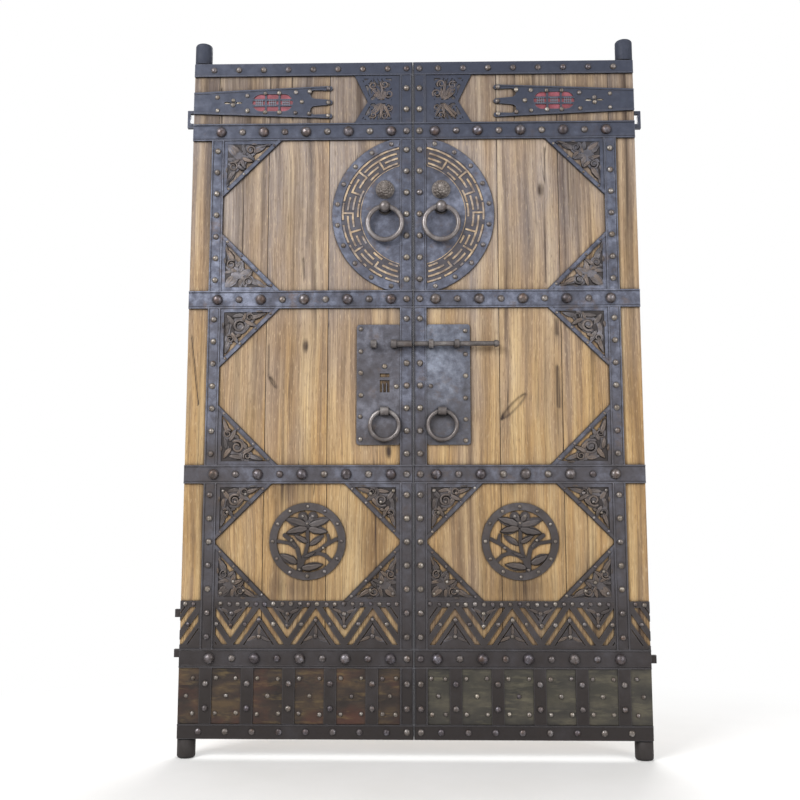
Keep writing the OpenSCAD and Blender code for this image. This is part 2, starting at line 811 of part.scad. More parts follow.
// One repeat of the key fret between its inner and outer lines, which are rows 0 and 4.
module fret_unit(a, span, row_0, row_pitch) {
    col = span / 6;
    function row(i) = row_0 + i * row_pitch;
    ray(a + col, row(1), row(4), fret_line);
    arc(row(1), fret_line, a + col * 0.75, a + col * 4.25);
    ray(a + col * 4, row(1), row(3), fret_line);
    arc(row(3), fret_line, a + col * 2.05, a + col * 4.25);
    ray(a + col * 2.3, row(2), row(3), fret_line);
    ray(a + col * 5.2, row(0), row(3), fret_line);
    arc(row(2), fret_line, a + col * 4.95, a + col * 6.4);
}

module key_fret() {
    span = 24;
    row_0 = roundel_r - rim_w - fret_w + fret_line;
    row_pitch = (fret_w - 2 * fret_line) / 4;
    for (i = [0, 4]) annulus(row_0 + i * row_pitch + fret_line / 2, row_0 + i * row_pitch - fret_line / 2);
    for (i = [0:6]) fret_unit(96 + i * span, span, row_0, row_pitch);
}

module roundel() {
    base_t = plate_t - 1;
    inner = roundel_r - rim_w - fret_w;
    color(iron) {
        plate(base_t) intersection() {
            translate([leaf_w + leaf_gap / 2, roundel_v]) circle(roundel_r);
            half_roundel_field();
        }
        plate(strap_t - base_t + eps, base_t - eps) intersection() {
            translate([leaf_w + leaf_gap / 2, roundel_v]) annulus(roundel_r - 0.2, roundel_r - rim_w);
            half_roundel_field();
        }
        plate(bead_h + eps, base_t - eps) intersection() {
            translate([leaf_w + leaf_gap / 2, roundel_v]) union() {
                key_fret();
                annulus(inner, inner - bead_w);
            }
            half_roundel_field();
        }
    }
}

module boss() {
    color(patina) on_front(plate_t - 1) translate([ring_u, boss_v, 0]) {
        cylinder(d = boss_d + 5, h = 3);
        translate([0, 0, 2.5]) dome(boss_d, boss_d * 0.62);
    }
}

// Ring pulls: the ring's bar passes through a wide bore, so that the ring can swing.
module torus(r, bar_r) {
    rotate_extrude() translate([r, 0]) circle(bar_r);
}

module knob() {
    base = plate_t - 1;
    color(worn_iron) difference() {
        union() {
            on_front(base) translate([ring_u, ring_v, 0]) {
                cylinder(r = knob_r + 3, h = 3);
                cylinder(r = knob_r * 0.72, h = ring_off - base);
                translate([0, 0, ring_off - base]) sphere(knob_r);
            }
        }
        translate([ring_u - 2 * knob_r, -half_t - ring_off, ring_v]) rotate([0, 90, 0])
            cylinder(r = knob_bore, h = 4 * knob_r);
        block(
            [ring_u - 2 * knob_r, ring_u + 2 * knob_r], [-half_t - base, -half_t],
            [ring_v - 2 * knob_r, ring_v + 2 * knob_r]
        );
    }
}

module ring() {
    color(worn_iron)
        on_front(ring_off) translate([ring_u, ring_v - ring_r, 0]) torus(ring_r, ring_bar);
}

module staple() {
    outer = staple_bore + staple_wall;
    color(worn_iron) difference() {
        union() {
            translate([ring_u - staple_l / 2, -half_t - staple_off, low_ring_v]) rotate([0, 90, 0])
                cylinder(r = outer, h = staple_l);
            block(
                [ring_u - staple_l / 2, ring_u + staple_l / 2], [-half_t - staple_off, -half_t - plate_t],
                [low_ring_v - outer, low_ring_v + outer]
            );
        }
        translate([ring_u - staple_l, -half_t - staple_off, low_ring_v]) rotate([0, 90, 0])
            cylinder(r = staple_bore, h = 2 * staple_l);
        block(
            [ring_u - staple_l, ring_u + staple_l], [-half_t - plate_t, -half_t],
            [low_ring_v - 99, low_ring_v + 99]
        );
    }
}

module lower_ring() {
    color(worn_iron) on_front(staple_off) translate([ring_u, low_ring_v - low_ring_r, 0])
        torus(low_ring_r, low_ring_bar);
}

// Lock plates and the slide bolt.
module lock_outline() {
    r = lock_round;
    translate([meeting_in - lock_w, lock_v]) {
        translate([r, 0]) square([lock_w - 2 * r, lock_h]);
        translate([0, r]) square([lock_w, lock_h - 2 * r]);
        for (x = [r, lock_w - r], y = [r, lock_h - r]) translate([x, y]) circle(r);
    }
}

module keyhole() {
    louvre_w = 3;
    translate([ring_u, lock_v + slot_rise]) {
        translate([-slot_w / 2, 49]) square([slot_w, 13]);
        difference() {
            translate([-slot_w / 2, 0]) square([slot_w, 40]);
            for (x = [-6, 6]) translate([x - louvre_w / 2, -eps]) square([louvre_w, 30]);
        }
    }
}

module lock_plate(keyed) {
    color(iron) plate() difference() {
        lock_outline();
        if (keyed) keyhole();
    }
}

keeper_bore = bolt_r + 0.5;
keeper_tube_r = bolt_r + 2.5;

// A collar round the bolt on a foot that stands on the lock plate.
module bolt_collar(m, bore, w) {
    outer = bolt_r + guide_wall;
    translate([leaf_w - m - w / 2, 0, 0]) difference() {
        union() {
            translate([0, -half_t - bolt_off, bolt_v]) rotate([0, 90, 0]) cylinder(r = outer, h = w);
            block(
                [0, w], [-half_t - bolt_off, -half_t - plate_t],
                [bolt_v - outer * 0.7, bolt_v + outer * 0.7]
            );
        }
        translate([-1, -half_t - bolt_off, bolt_v]) rotate([0, 90, 0]) cylinder(r = bore, h = w + 2);
    }
}

module guides() {
    color(worn_iron) for (m = [guide_1_m, guide_2_m]) bolt_collar(m, bolt_r + run_clear, guide_w);
}

module keeper() {
    mouth = 3;
    color(worn_iron) {
        bolt_collar(eye_2_m, keeper_bore, guide_w + 3);
        bolt_collar(eye_1_m, keeper_bore, guide_w + 3);
        translate([leaf_w - eye_1_m, -half_t - bolt_off, bolt_v]) rotate([0, 90, 0]) difference() {
            cylinder(r = keeper_tube_r, h = eye_1_m - mouth);
            translate([0, 0, -1]) cylinder(r = keeper_bore, h = eye_1_m + 2);
        }
    }
}

module bolt_rod() {
    rim_l = bolt_knob_l * 0.6;
    rim_r = bolt_r + 3.5;
    color(worn_iron) translate([leaf_w - bolt_back, -half_t - bolt_off, bolt_v]) rotate([0, -90, 0]) {
        cylinder(r = bolt_r, h = bolt_l + bolt_knob_l / 2);
        translate([0, 0, bolt_l]) cylinder(r = rim_r, h = rim_l);
        translate([0, 0, bolt_l + rim_l]) cylinder(r1 = rim_r, r2 = bolt_r - 1, h = bolt_knob_l - rim_l);
    }
}

// Round medallion: a flower on a forked stem between leaves.
module leaf(p, q, w) {
    d = q - p;
    translate((p + q) / 2) rotate(atan2(d[1], d[0]) - 90) lens(norm(d), w);
}

module stroke(points, w) {
    for (i = [0:len(points) - 2]) bar(points[i], points[i + 1], w);
    for (p = points) translate(p) circle(w / 2);
}

// Drawn for a medallion whose inner radius is 1, stem at the left of the foot.
module flower_petals() {
    for (x = [-0.16, 0.17]) translate([x, 0.80]) circle(0.15);
    translate([0, 0.58]) circle(0.17);
    leaf([0.02, 0.50], [-0.74, 0.72], 0.27);
    leaf([0.02, 0.50], [0.74, 0.74], 0.27);
    leaf([0.04, 0.42], [-0.70, 0.26], 0.26);
    leaf([0.00, 0.42], [0.66, 0.30], 0.26);
}

module flower_stems() {
    stroke([[0, 0.45], [0, -0.12], [-0.08, -0.45], [-0.24, -0.98]], 0.11);
    stroke([[-0.27, -0.98], [-0.25, -0.55], [-0.32, -0.25], [-0.52, 0.03], [-0.74, 0.19]], 0.13);
    stroke([[-0.33, -0.24], [-0.60, -0.06], [-1.03, 0.01]], 0.10);
    stroke([[-0.13, -0.50], [0.34, -0.31], [0.62, -0.10], [0.94, 0.07]], 0.11);
    stroke([[0.64, -0.09], [0.70, 0.04], [0.66, 0.20]], 0.09);
    stroke([[-0.16, -0.60], [0.10, -0.44], [0.36, -0.38], [0.58, -0.45], [0.80, -0.66]], 0.11);
}

module flower_leaves() {
    leaf([0.02, -0.06], [-0.44, 0.20], 0.18);
    leaf([0.04, -0.14], [0.54, 0.20], 0.19);
    leaf([-0.22, -0.86], [0.52, -0.74], 0.24);
    leaf([-0.30, -0.72], [-0.90, -0.42], 0.27);
}

module medallion() {
    medal_u = (hinge_in + meeting_u) / 2;
    k = medal_r - medal_rim;
    color(dark_iron) on_front() translate([medal_u, medal_v]) {
        linear_extrude(plate_t) annulus(medal_r, k);
        linear_extrude(plate_t - 1) intersection() {
            circle(k + medal_rim / 2);
            scale(k) union() {
                flower_petals();
                flower_stems();
                flower_leaves();
            }
        }
        translate([0, 0, plate_t - 1 - eps]) linear_extrude(bead_h + eps) scale(k) {
            translate([0, 0.58]) circle(0.09);
            for (x = [-0.16, 0.17]) translate([x, 0.81]) circle(0.085);
            leaf([-0.16, 0.38], [-0.60, 0.28], 0.11);
            leaf([0.16, 0.40], [0.57, 0.31], 0.11);
            leaf([-0.08, 0.00], [-0.37, 0.16], 0.07);
            leaf([0.13, -0.07], [0.46, 0.15], 0.08);
            leaf([-0.14, 0.55], [-0.66, 0.69], 0.11);
            leaf([0.16, 0.55], [0.66, 0.71], 0.11);
            leaf([-0.16, -0.84], [0.44, -0.755], 0.09);
            leaf([-0.40, -0.66], [-0.82, -0.46], 0.10);
        }
    }
}

// Zigzag frieze: a zigzag bar between two rails, with hanging and standing triangles.
zig_lo = field_lo(1) + seam + 9;
zig_hi = frieze_top_v - frieze_bar;
zig_h = zig_hi - zig_lo;
zig_rise = zig_steep * zig_h;
zig_end = 4;

function peak_u(i) = first_peak_u + i * zig_pitch;

// One zigzag line, left to right, with its peaks at height v.
function zig_line(v) = [
    for (i = [-1:zig_end]) each [[peak_u(i - 0.5), v - zig_rise], [peak_u(i), v]]
];

function backwards(line) = [for (i = [len(line) - 1:-1:0]) line[i]];

module zig_band(v, t) {
    polygon(concat(zig_line(v), backwards(zig_line(v + t))));
}

// Triangle below the peaks' height v, and the same hanging above the valleys' height v.
module standing(v) {
    half = (v - zig_lo) / zig_rise * zig_pitch / 2;
    for (i = [0:zig_end - 1])
        polygon([[peak_u(i) - half, zig_lo], [peak_u(i), v], [peak_u(i) + half, zig_lo]]);
}

module hanging(v) {
    half = (zig_hi - v) / zig_rise * zig_pitch / 2;
    for (i = [0:zig_end])
        polygon([[peak_u(i - 0.5) - half, zig_hi], [peak_u(i - 0.5), v], [peak_u(i - 0.5) + half, zig_hi]]);
}

module frieze_field() {
    lo = field_lo(1) + seam;
    difference() {
        translate([0, lo]) square([meeting_in, frieze_top_v - lo]);
        translate([hinge_strap_u - hinge_strap_w / 2 - seam, 0]) square([hinge_strap_w + 2 * seam, leaf_h]);
    }
}

module frieze_part() {
    plate() intersection() {
        frieze_field();
        children();
    }
}

module frieze() {
    rail = 12;
    lo = field_lo(1) + seam;
    bar_t = zig_bar_part * zig_h;
    slot_t = zig_slot_part * zig_h;
    band_t = zig_band_part * zig_h;
    slit_t = zig_slit_part * zig_h;
    stand_v = zig_hi - slot_t - band_t;
    hang_v = zig_hi - zig_rise + bar_t + slot_t;
    color(dark_iron) {
        frieze_part() translate([0, zig_hi]) square([meeting_in, frieze_bar]);
        frieze_part() translate([0, lo]) square([meeting_in, rail]);
        frieze_part() zig_band(zig_hi - 1, bar_t);
        frieze_part() zig_band(stand_v, band_t);
        frieze_part() zig_band(hang_v + zig_rise, band_t);
        frieze_part() standing(stand_v - slit_t);
        frieze_part() hanging(hang_v + band_t + slit_t);
        for (u = [hinge_strap_u - hinge_strap_w / 2, hinge_in, meeting_in])
            frieze_part() translate([u - rail / 2, lo]) square([rail, zig_hi - lo + eps]);
    }
}

// Domed studs in rows on the straps, shoes, roundel rim and kick strips.
module stud_at(u, v, off, d, h) {
    on_front(off) translate([u, v, 0]) dome(d, h);
}

module strap_studs() {
    for (v = cross_v) {
        for (i = [0:4]) stud_at(first_stud_u + i * stud_pitch, v, strap_t, big_stud_d, big_stud_d * 0.42);
        for (i = [0:3]) stud_at(first_stud_u + (i + 0.5) * stud_pitch, v, strap_t, stud_d, stud_d * 0.36);
        stud_at(leaf_w - meeting_w / 2, v, strap_t, stud_d, stud_d * 0.36);
    }
}

module upright_studs() {
    per_field = 7;
    for (i = [1:3], j = [0:per_field - 1]) {
        v = field_lo(i) + (j + 0.5) * (field_hi(i) - field_lo(i)) / per_field;
        stud_at(hinge_strap_u, v, strap_t, stud_d - 3, stud_d * 0.34);
        if (abs(v - bolt_v) > 25) stud_at(leaf_w - meeting_w / 2, v, strap_t, stud_d - 2, stud_d * 0.36);
    }
    for (i = [0, 4], j = [0.28, 0.72]) {
        v = field_lo(i) + j * (field_hi(i) - field_lo(i));
        stud_at(leaf_w - meeting_w / 2, v, strap_t, stud_d - 2, stud_d * 0.36);
    }
}

module shoe_studs() {
    count = 8;
    pitch = (meeting_u - 62) / (count - 0.45);
    for (v = [shoe_h / 2, leaf_h - shoe_h / 2]) {
        for (i = [0:count - 1]) stud_at(66 + i * pitch, v, strap_t, stud_d - 2, stud_d * 0.3);
        stud_at(leaf_w - meeting_w / 2, v, strap_t, stud_d - 2, stud_d * 0.3);
    }
}

module rim_studs() {
    step = 16.3;
    r = roundel_r - rim_w / 2;
    for (i = [0:4], s = [-1, 1]) {
        a = 180 + s * (step / 2 + i * step);
        stud_at(leaf_w + leaf_gap / 2 + r * cos(a), roundel_v + r * sin(a), strap_t, 16, 6);
    }
}

module kick_studs() {
    for (i = [0:4], v = [0.28, 0.72])
        stud_at(
            kick_strip_u(i), field_lo(0) + v * (field_hi(0) - field_lo(0)),
            sheet_t + plate_t - 1, stud_d - 3, stud_d * 0.34
        );
}

module studs() {
    color(worn_iron) {
        strap_studs();
        upright_studs();
        shoe_studs();
        rim_studs();
        kick_studs();
    }
}

// Small iron lugs and loops on the outer edge.
module edge_lug(v, h, reach = lug_reach) {
    block([-reach, 0], [-lug_t / 2, lug_t / 2], [v - h / 2, v + h / 2]);
}

module edge_loop(v) {
    foot = 3;
    difference() {
        edge_lug(v, loop_h, loop_reach);
        block(
            [loop_bar - loop_reach, -foot], [-lug_t, lug_t],
            [v - loop_h / 2 + 1.5 * loop_bar, v + loop_h / 2 - loop_bar]
        );
    }
}

module left_edge_lugs() {
    color(dark_iron) {
        edge_loop(left_loop_v);
        edge_lug(left_lug_1_v, lug_h);
        edge_lug(left_lug_2_v, lug_h);
    }
}

module right_edge_lugs() {
    color(dark_iron) {
        edge_loop(right_loop_v);
        edge_lug(right_lug_v, lug_h);
    }
}

// Named pieces of the pair.
module pivot_cups() {
    color(dark_iron) {
        left_leaf() leaf_cups();
        right_leaf() leaf_cups();
    }
}

module left_stile() { left_leaf() stile(); }
module left_board_a() { left_leaf() board_a(); }
module left_board_b() { left_leaf() board_b(); }
module left_board_c() { left_leaf() board_c(); }
module left_battens() { left_leaf() battens(); }
module left_pivots() { left_leaf() pivots(); }
module left_shoes() { left_leaf() shoes(); }
module left_cross_straps() { left_leaf() cross_straps(); }
module left_upright_straps() { left_leaf() upright_straps(); }
module left_fishtail() { left_leaf() fishtail(); }
module left_inlay() { left_leaf() inlay(); }
module left_scroll_plate() { left_leaf() scroll_plate(); }
module left_upper_brackets() { left_leaf() upper_brackets(); }
module left_lower_brackets() { left_leaf() lower_brackets(); }
module left_roundel() { left_leaf() roundel(); }
module left_boss() { left_leaf() boss(); }
module left_knob() { left_leaf() knob(); }
module left_ring() { left_leaf() ring(); }
module left_lock_plate() { left_leaf() lock_plate(true); }
module left_staple() { left_leaf() staple(); }
module left_lower_ring() { left_leaf() lower_ring(); }
module left_medallion() { left_leaf() medallion(); }
module left_frieze() { left_leaf() frieze(); }
module left_kick_sheet() { left_leaf() kick_sheet(); }
module left_kick_strips() { left_leaf() kick_strips(); }
module left_studs() { left_leaf() studs(); }
module left_lugs() { left_leaf() left_edge_lugs(); }
module bolt_keeper() { left_leaf() keeper(); }

module right_stile() { right_leaf() stile(); }
module right_board_a() { right_leaf() board_a(); }
module right_board_b() { right_leaf() board_b(); }
module right_board_c() { right_leaf() board_c(); }
module right_battens() { right_leaf() battens(); }
module right_pivots() { right_leaf() pivots(); }
module right_shoes() { right_leaf() shoes(); }
module right_cross_straps() { right_leaf() cross_straps(); }
module right_upright_straps() { right_leaf() upright_straps(); }
module right_fishtail() { right_leaf() fishtail(); }
module right_inlay() { right_leaf() inlay(); }
module right_scroll_plate() { right_leaf() scroll_plate(); }
module right_upper_brackets() { right_leaf() upper_brackets(); }
module right_lower_brackets() { right_leaf() lower_brackets(); }
module right_roundel() { right_leaf() roundel(); }
module right_boss() { right_leaf() boss(); }
module right_knob() { right_leaf() knob(); }
module right_ring() { right_leaf() ring(); }
module right_lock_plate() { right_leaf() lock_plate(false); }
module right_staple() { right_leaf() staple(); }
module right_lower_ring() { right_leaf() lower_ring(); }
module right_medallion() { right_leaf() medallion(); }
module right_frieze() { right_leaf() frieze(); }
module right_kick_sheet() { right_leaf() kick_sheet(); }
module right_kick_strips() { right_leaf() kick_strips(); }
module right_studs() { right_leaf() studs(); }
module right_lugs() { right_leaf() right_edge_lugs(); }
module bolt_guides() { right_leaf() guides(); }
module bolt() { right_leaf() bolt_rod(); }

pivot_cups();
left_stile();
left_board_a();
left_board_b();
left_board_c();
left_battens();
left_pivots();
left_shoes();
left_cross_straps();
left_upright_straps();
left_fishtail();
left_inlay();
left_scroll_plate();
left_upper_brackets();
left_lower_brackets();
left_roundel();
left_boss();
left_knob();
left_ring();
left_lock_plate();
left_staple();
left_lower_ring();
left_medallion();
left_frieze();
left_kick_sheet();
left_kick_strips();
left_studs();
left_lugs();
bolt_keeper();
right_stile();
right_board_a();
right_board_b();
right_board_c();
right_battens();
right_pivots();
right_shoes();
right_cross_straps();
right_upright_straps();
right_fishtail();
right_inlay();
right_scroll_plate();
right_upper_brackets();
right_lower_brackets();
right_roundel();
right_boss();
right_knob();
right_ring();
right_lock_plate();
right_staple();
right_lower_ring();
right_medallion();
right_frieze();
right_kick_sheet();
right_kick_strips();
right_studs();
right_lugs();
bolt_guides();
bolt();
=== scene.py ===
# %% [markdown]
# # A pair of plank gate leaves with iron fittings
# The solids of the gate come in metres and already stand in their places. This lesson dresses them: first
# the camera, the light and the floor, then the finishes of wood and iron, and then the pieces that need
# more detail than a plain solid has, such as grained boards, hammered studs, nails and foliate bosses.

# %% Load the solids
import math

import bmesh
import bpy
import numpy as np
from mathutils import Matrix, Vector


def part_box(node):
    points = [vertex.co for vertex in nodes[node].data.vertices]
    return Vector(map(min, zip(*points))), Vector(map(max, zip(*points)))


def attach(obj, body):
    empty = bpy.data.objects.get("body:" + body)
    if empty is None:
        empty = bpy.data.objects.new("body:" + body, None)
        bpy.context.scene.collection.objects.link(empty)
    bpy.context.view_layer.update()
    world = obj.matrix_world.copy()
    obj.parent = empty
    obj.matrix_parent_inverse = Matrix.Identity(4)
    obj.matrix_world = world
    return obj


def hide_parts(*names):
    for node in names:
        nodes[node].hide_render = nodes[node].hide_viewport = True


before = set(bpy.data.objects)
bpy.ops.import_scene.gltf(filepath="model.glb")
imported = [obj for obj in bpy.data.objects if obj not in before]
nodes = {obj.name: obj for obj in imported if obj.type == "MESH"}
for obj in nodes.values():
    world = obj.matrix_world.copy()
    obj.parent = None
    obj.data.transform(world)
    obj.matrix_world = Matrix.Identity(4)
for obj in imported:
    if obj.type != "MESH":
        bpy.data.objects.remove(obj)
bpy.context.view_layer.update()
scene = bpy.context.scene

# %% [markdown]
# Every place on a leaf is named by two distances: how far across from the outer edge, and how far up from
# the foot. Both leaves then share one set of numbers, and a small function turns them into a point.

# %% Places on a leaf
SIDES = {"left": -1, "right": 1}
LEAF_W = 0.735
OUTER_X = -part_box("left_shoes")[0].x
FOOT_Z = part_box("left_shoes")[0].z
WOOD_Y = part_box("left_stile")[0].y
BACK_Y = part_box("left_stile")[1].y
STRAP = 0.005
PLATE = 0.004
SHEET = 0.002
BEAD = 0.0016


def spot(side, across, up, off=0.0):
    return Vector((SIDES[side] * (OUTER_X - across), WOOD_Y - off, FOOT_Z + up))


print("wood front at", round(WOOD_Y, 4), "leaf foot at", round(FOOT_Z, 4))

# %% [markdown]
# The photograph looks at the gate from about three metres, from a little under waist height and slightly
# upwards, so that the leaves narrow towards the top. The camera's place, tilt and lens were solved from the
# eight corners of the leaves, which is surer than turning it by eye.

# %% Camera
PITCH = 0.1215
TURN = -0.0219
FOCAL_PIXELS = 952.0
PICTURE_PIXELS = 800.0
camera = bpy.data.objects.new("camera", bpy.data.cameras.new("camera"))
scene.collection.objects.link(camera)
ahead = Vector((math.sin(TURN) * math.cos(PITCH), math.cos(TURN) * math.cos(PITCH), math.sin(PITCH)))
camera.location = (0.0235, -3.067, 0.745)
camera.rotation_euler = ahead.to_track_quat("-Z", "Y").to_euler()
camera.data.sensor_width = 36.0
camera.data.lens = 36.0 * FOCAL_PIXELS / PICTURE_PIXELS
scene.camera = camera
print("lens", round(camera.data.lens, 2), "mm")

# %% [markdown]
# Each finish is a small tree of shader nodes. The helpers below add one node, link or set its sockets, and
# hand back the output, so that a finish reads like a recipe. Colours are written as they look on a screen
# and turned into linear light once.

# %% Shader helpers
def screen(red, green, blue):
    def linear(part):
        part = part / 255.0
        return part / 12.92 if part <= 0.04045 else ((part + 0.055) / 1.055) ** 2.4
    return (linear(red), linear(green), linear(blue), 1.0)


def tones(*colours):
    return [screen(*colour) for colour in colours]


def put(tree, socket, value):
    if isinstance(value, bpy.types.NodeSocket):
        tree.links.new(value, socket)
    else:
        socket.default_value = value


def add(tree, kind, inputs=None, **settings):
    node = tree.nodes.new(kind)
    for key, value in settings.items():
        setattr(node, key, value)
    for key, value in (inputs or {}).items():
        put(tree, node.inputs[key], value)
    return node


def noise(tree, vector, scale, detail=4.0, rough=0.55):
    return add(tree, "ShaderNodeTexNoise", {
        "Vector": vector, "Scale": scale, "Detail": detail, "Roughness": rough,
    }).outputs[0]


def stretch(tree, vector, scale, shift):
    return add(tree, "ShaderNodeMapping", {
        "Vector": vector, "Scale": scale, "Location": shift,
    }).outputs[0]


def drawn_out(tree, place, scale, shift=(0.0, 0.0, 0.0), detail=4.0, rough=0.6):
    return noise(tree, stretch(tree, place, scale, shift), 1.0, detail, rough)


def remap(tree, value, low, high, to_low=0.0, to_high=1.0):
    return add(tree, "ShaderNodeMapRange", {
        "Value": value, "From Min": low, "From Max": high, "To Min": to_low, "To Max": to_high,
    }).outputs[0]


def calc(tree, operation, first, second=0.0):
    node = add(tree, "ShaderNodeMath", operation=operation)
    put(tree, node.inputs[0], first)
    put(tree, node.inputs[1], second)
    return node.outputs[0]


print("node helpers ready")

# %% [markdown]
# Colour and surface come next. A ramp turns a number into a colour, a layer lays one tone over another where
# a pattern says so, relief bends the light as small bumps would, and a crevice is known by how little of its
# surroundings it sees. The finishes darken their colour by it, which is painted shade in crevices and under
# parts; measured inside the metal, it marks the edges for a painted highlight. A finish is coated with the
# results at the end.

# %% Colour and relief helpers
def ramp(tree, factor, places, colours):
    node = add(tree, "ShaderNodeValToRGB", {"Fac": factor})
    marks = node.color_ramp.elements
    while len(marks) < len(places):
        marks.new(0.5)
    for mark, at, colour in zip(marks, places, colours):
        mark.position = at
        mark.color = colour
    return node.outputs[0]


def blend(tree, factor, first, second, mode="MIX"):
    node = add(tree, "ShaderNodeMix", data_type="RGBA", blend_type=mode)
    put(tree, node.inputs[0], factor)
    put(tree, node.inputs[6], first)
    put(tree, node.inputs[7], second)
    return node.outputs[2]


def layer(tree, colour, value, span, share, tone):
    """Lay a tone over a colour. As the value runs through the span, the tone's share runs along."""
    return blend(tree, remap(tree, value, *span, *share), colour, screen(*tone))


def relief(tree, height, strength, distance, under=None):
    node = add(tree, "ShaderNodeBump", {"Height": height, "Strength": strength, "Distance": distance})
    if under is not None:
        tree.links.new(under, node.inputs["Normal"])
    return node.outputs[0]


def crevice(tree, reach, inside=False):
    """How shut in a place is or, measured inside the metal, how near it lies to an edge."""
    node = add(tree, "ShaderNodeAmbientOcclusion", {"Distance": reach}, samples=6, inside=inside)
    return calc(tree, "SUBTRACT", 1.0, node.outputs["AO"])


def finish(name):
    material = bpy.data.materials.new(name)
    material.use_nodes = True
    tree = material.node_tree
    return material, tree, tree.nodes["Principled BSDF"]


def coat(tree, shader, settings):
    for label, value in settings.items():
        put(tree, shader.inputs[label], value)


def own_place(tree):
    return add(tree, "ShaderNodeTexCoord").outputs["Object"]


def point_value(tree, name, output="Fac"):
    return add(tree, "ShaderNodeAttribute", attribute_name=name).outputs[output]


print("colour helpers ready")

# %% [markdown]
# The light is that of a plain studio: two wide soft panels high on either side, well away from where the
# iron would mirror them to the camera, a third behind the gate, and an even pale surround, brighter above,
# that fills the shadows. What looks straight at the surround sees plain white.

# %% Light
WHITE = (1.0, 1.0, 1.0, 1.0)


def panel(name, place, aim, size, power):
    lamp = bpy.data.lights.new(name, "AREA")
    lamp.shape = "RECTANGLE"
    lamp.size, lamp.size_y = size
    lamp.energy = power
    holder = bpy.data.objects.new(name, lamp)
    scene.collection.objects.link(holder)
    holder.location = place
    holder.rotation_euler = (Vector(aim) - Vector(place)).to_track_quat("-Z", "Y").to_euler()


def seen_directly(tree):
    path = add(tree, "ShaderNodeLightPath").outputs
    seen = calc(tree, "MAXIMUM", path["Is Camera Ray"], path["Is Transmission Ray"])
    return calc(tree, "MAXIMUM", seen, path["Is Glossy Ray"])


scene.view_settings.view_transform = "Standard"
panel("panel_left", (-3.4, -4.0, 3.8), (0.0, 0.0, 0.9), (2.6, 2.6), 285.0)
panel("panel_right", (3.6, -4.2, 2.8), (0.0, 0.0, 0.9), (2.2, 2.6), 120.0)
panel("panel_back", (0.8, 4.4, 4.6), (0.0, 0.0, 1.0), (3.4, 2.4), 230.0)

world = bpy.data.worlds.new("pale_surround")
world.use_nodes = True
sky = world.node_tree
sky.nodes.clear()
height = add(sky, "ShaderNodeSeparateXYZ", {"Vector": add(sky, "ShaderNodeTexCoord").outputs["Generated"]})
fill = add(sky, "ShaderNodeBackground", {"Strength": remap(sky, height.outputs[2], -0.6, 0.8, 0.22, 0.54)})
ground = add(sky, "ShaderNodeBackground", {"Color": WHITE, "Strength": 1.0})
choice = add(sky, "ShaderNodeMixShader", {0: seen_directly(sky), 1: fill.outputs[0], 2: ground.outputs[0]})
sky.links.new(choice.outputs[0], add(sky, "ShaderNodeOutputWorld").inputs[0])
scene.world = world
print("three panels and", world.name)

# %% [markdown]
# The floor is a pale sheet that takes the shadow near the gate and fades into the white surround further
# out, so that no horizon shows.

# %% Floor
floor_mesh = bpy.data.meshes.new("floor")
floor_mesh.from_pydata([(-12, -9, 0), (12, -9, 0), (12, 14, 0), (-12, 14, 0)], [], [(0, 1, 2, 3)])
floor = bpy.data.objects.new("floor", floor_mesh)
scene.collection.objects.link(floor)
floor_finish, tree, shader = finish("pale_floor")
grit = noise(tree, own_place(tree), 3.0, 5.0)
coat(tree, shader, {
    "Base Color": ramp(tree, grit, (0.3, 0.7), tones((238, 237, 235), (244, 243, 242))), "Roughness": 0.85,
})
flat = stretch(tree, own_place(tree), (0.62, 1.0, 1.0), (0.0, 0.0, 0.0))
away = add(tree, "ShaderNodeVectorMath", {0: flat}, operation="LENGTH").outputs["Value"]
fade = calc(tree, "MULTIPLY", remap(tree, away, 0.35, 1.5), seen_directly(tree))
white = add(tree, "ShaderNodeEmission", {"Color": WHITE, "Strength": 1.0})
both = add(tree, "ShaderNodeMixShader", {0: fade, 1: shader.outputs[0], 2: white.outputs[0]})
tree.links.new(both.outputs[0], tree.nodes["Material Output"].inputs["Surface"])
floor_mesh.materials.append(floor_finish)
print("floor", [round(v) for v in floor.dimensions], "metres")

# %% [markdown]
# The boards are old softwood: honey where they are rubbed and dry, grey-brown where rain and soot reached
# them. A picture of wood would slide at the edges, so the grain is grown from noise that is drawn out along
# the board. Thin level lines of the same noise give the darker year rings, and finer noise gives pores.

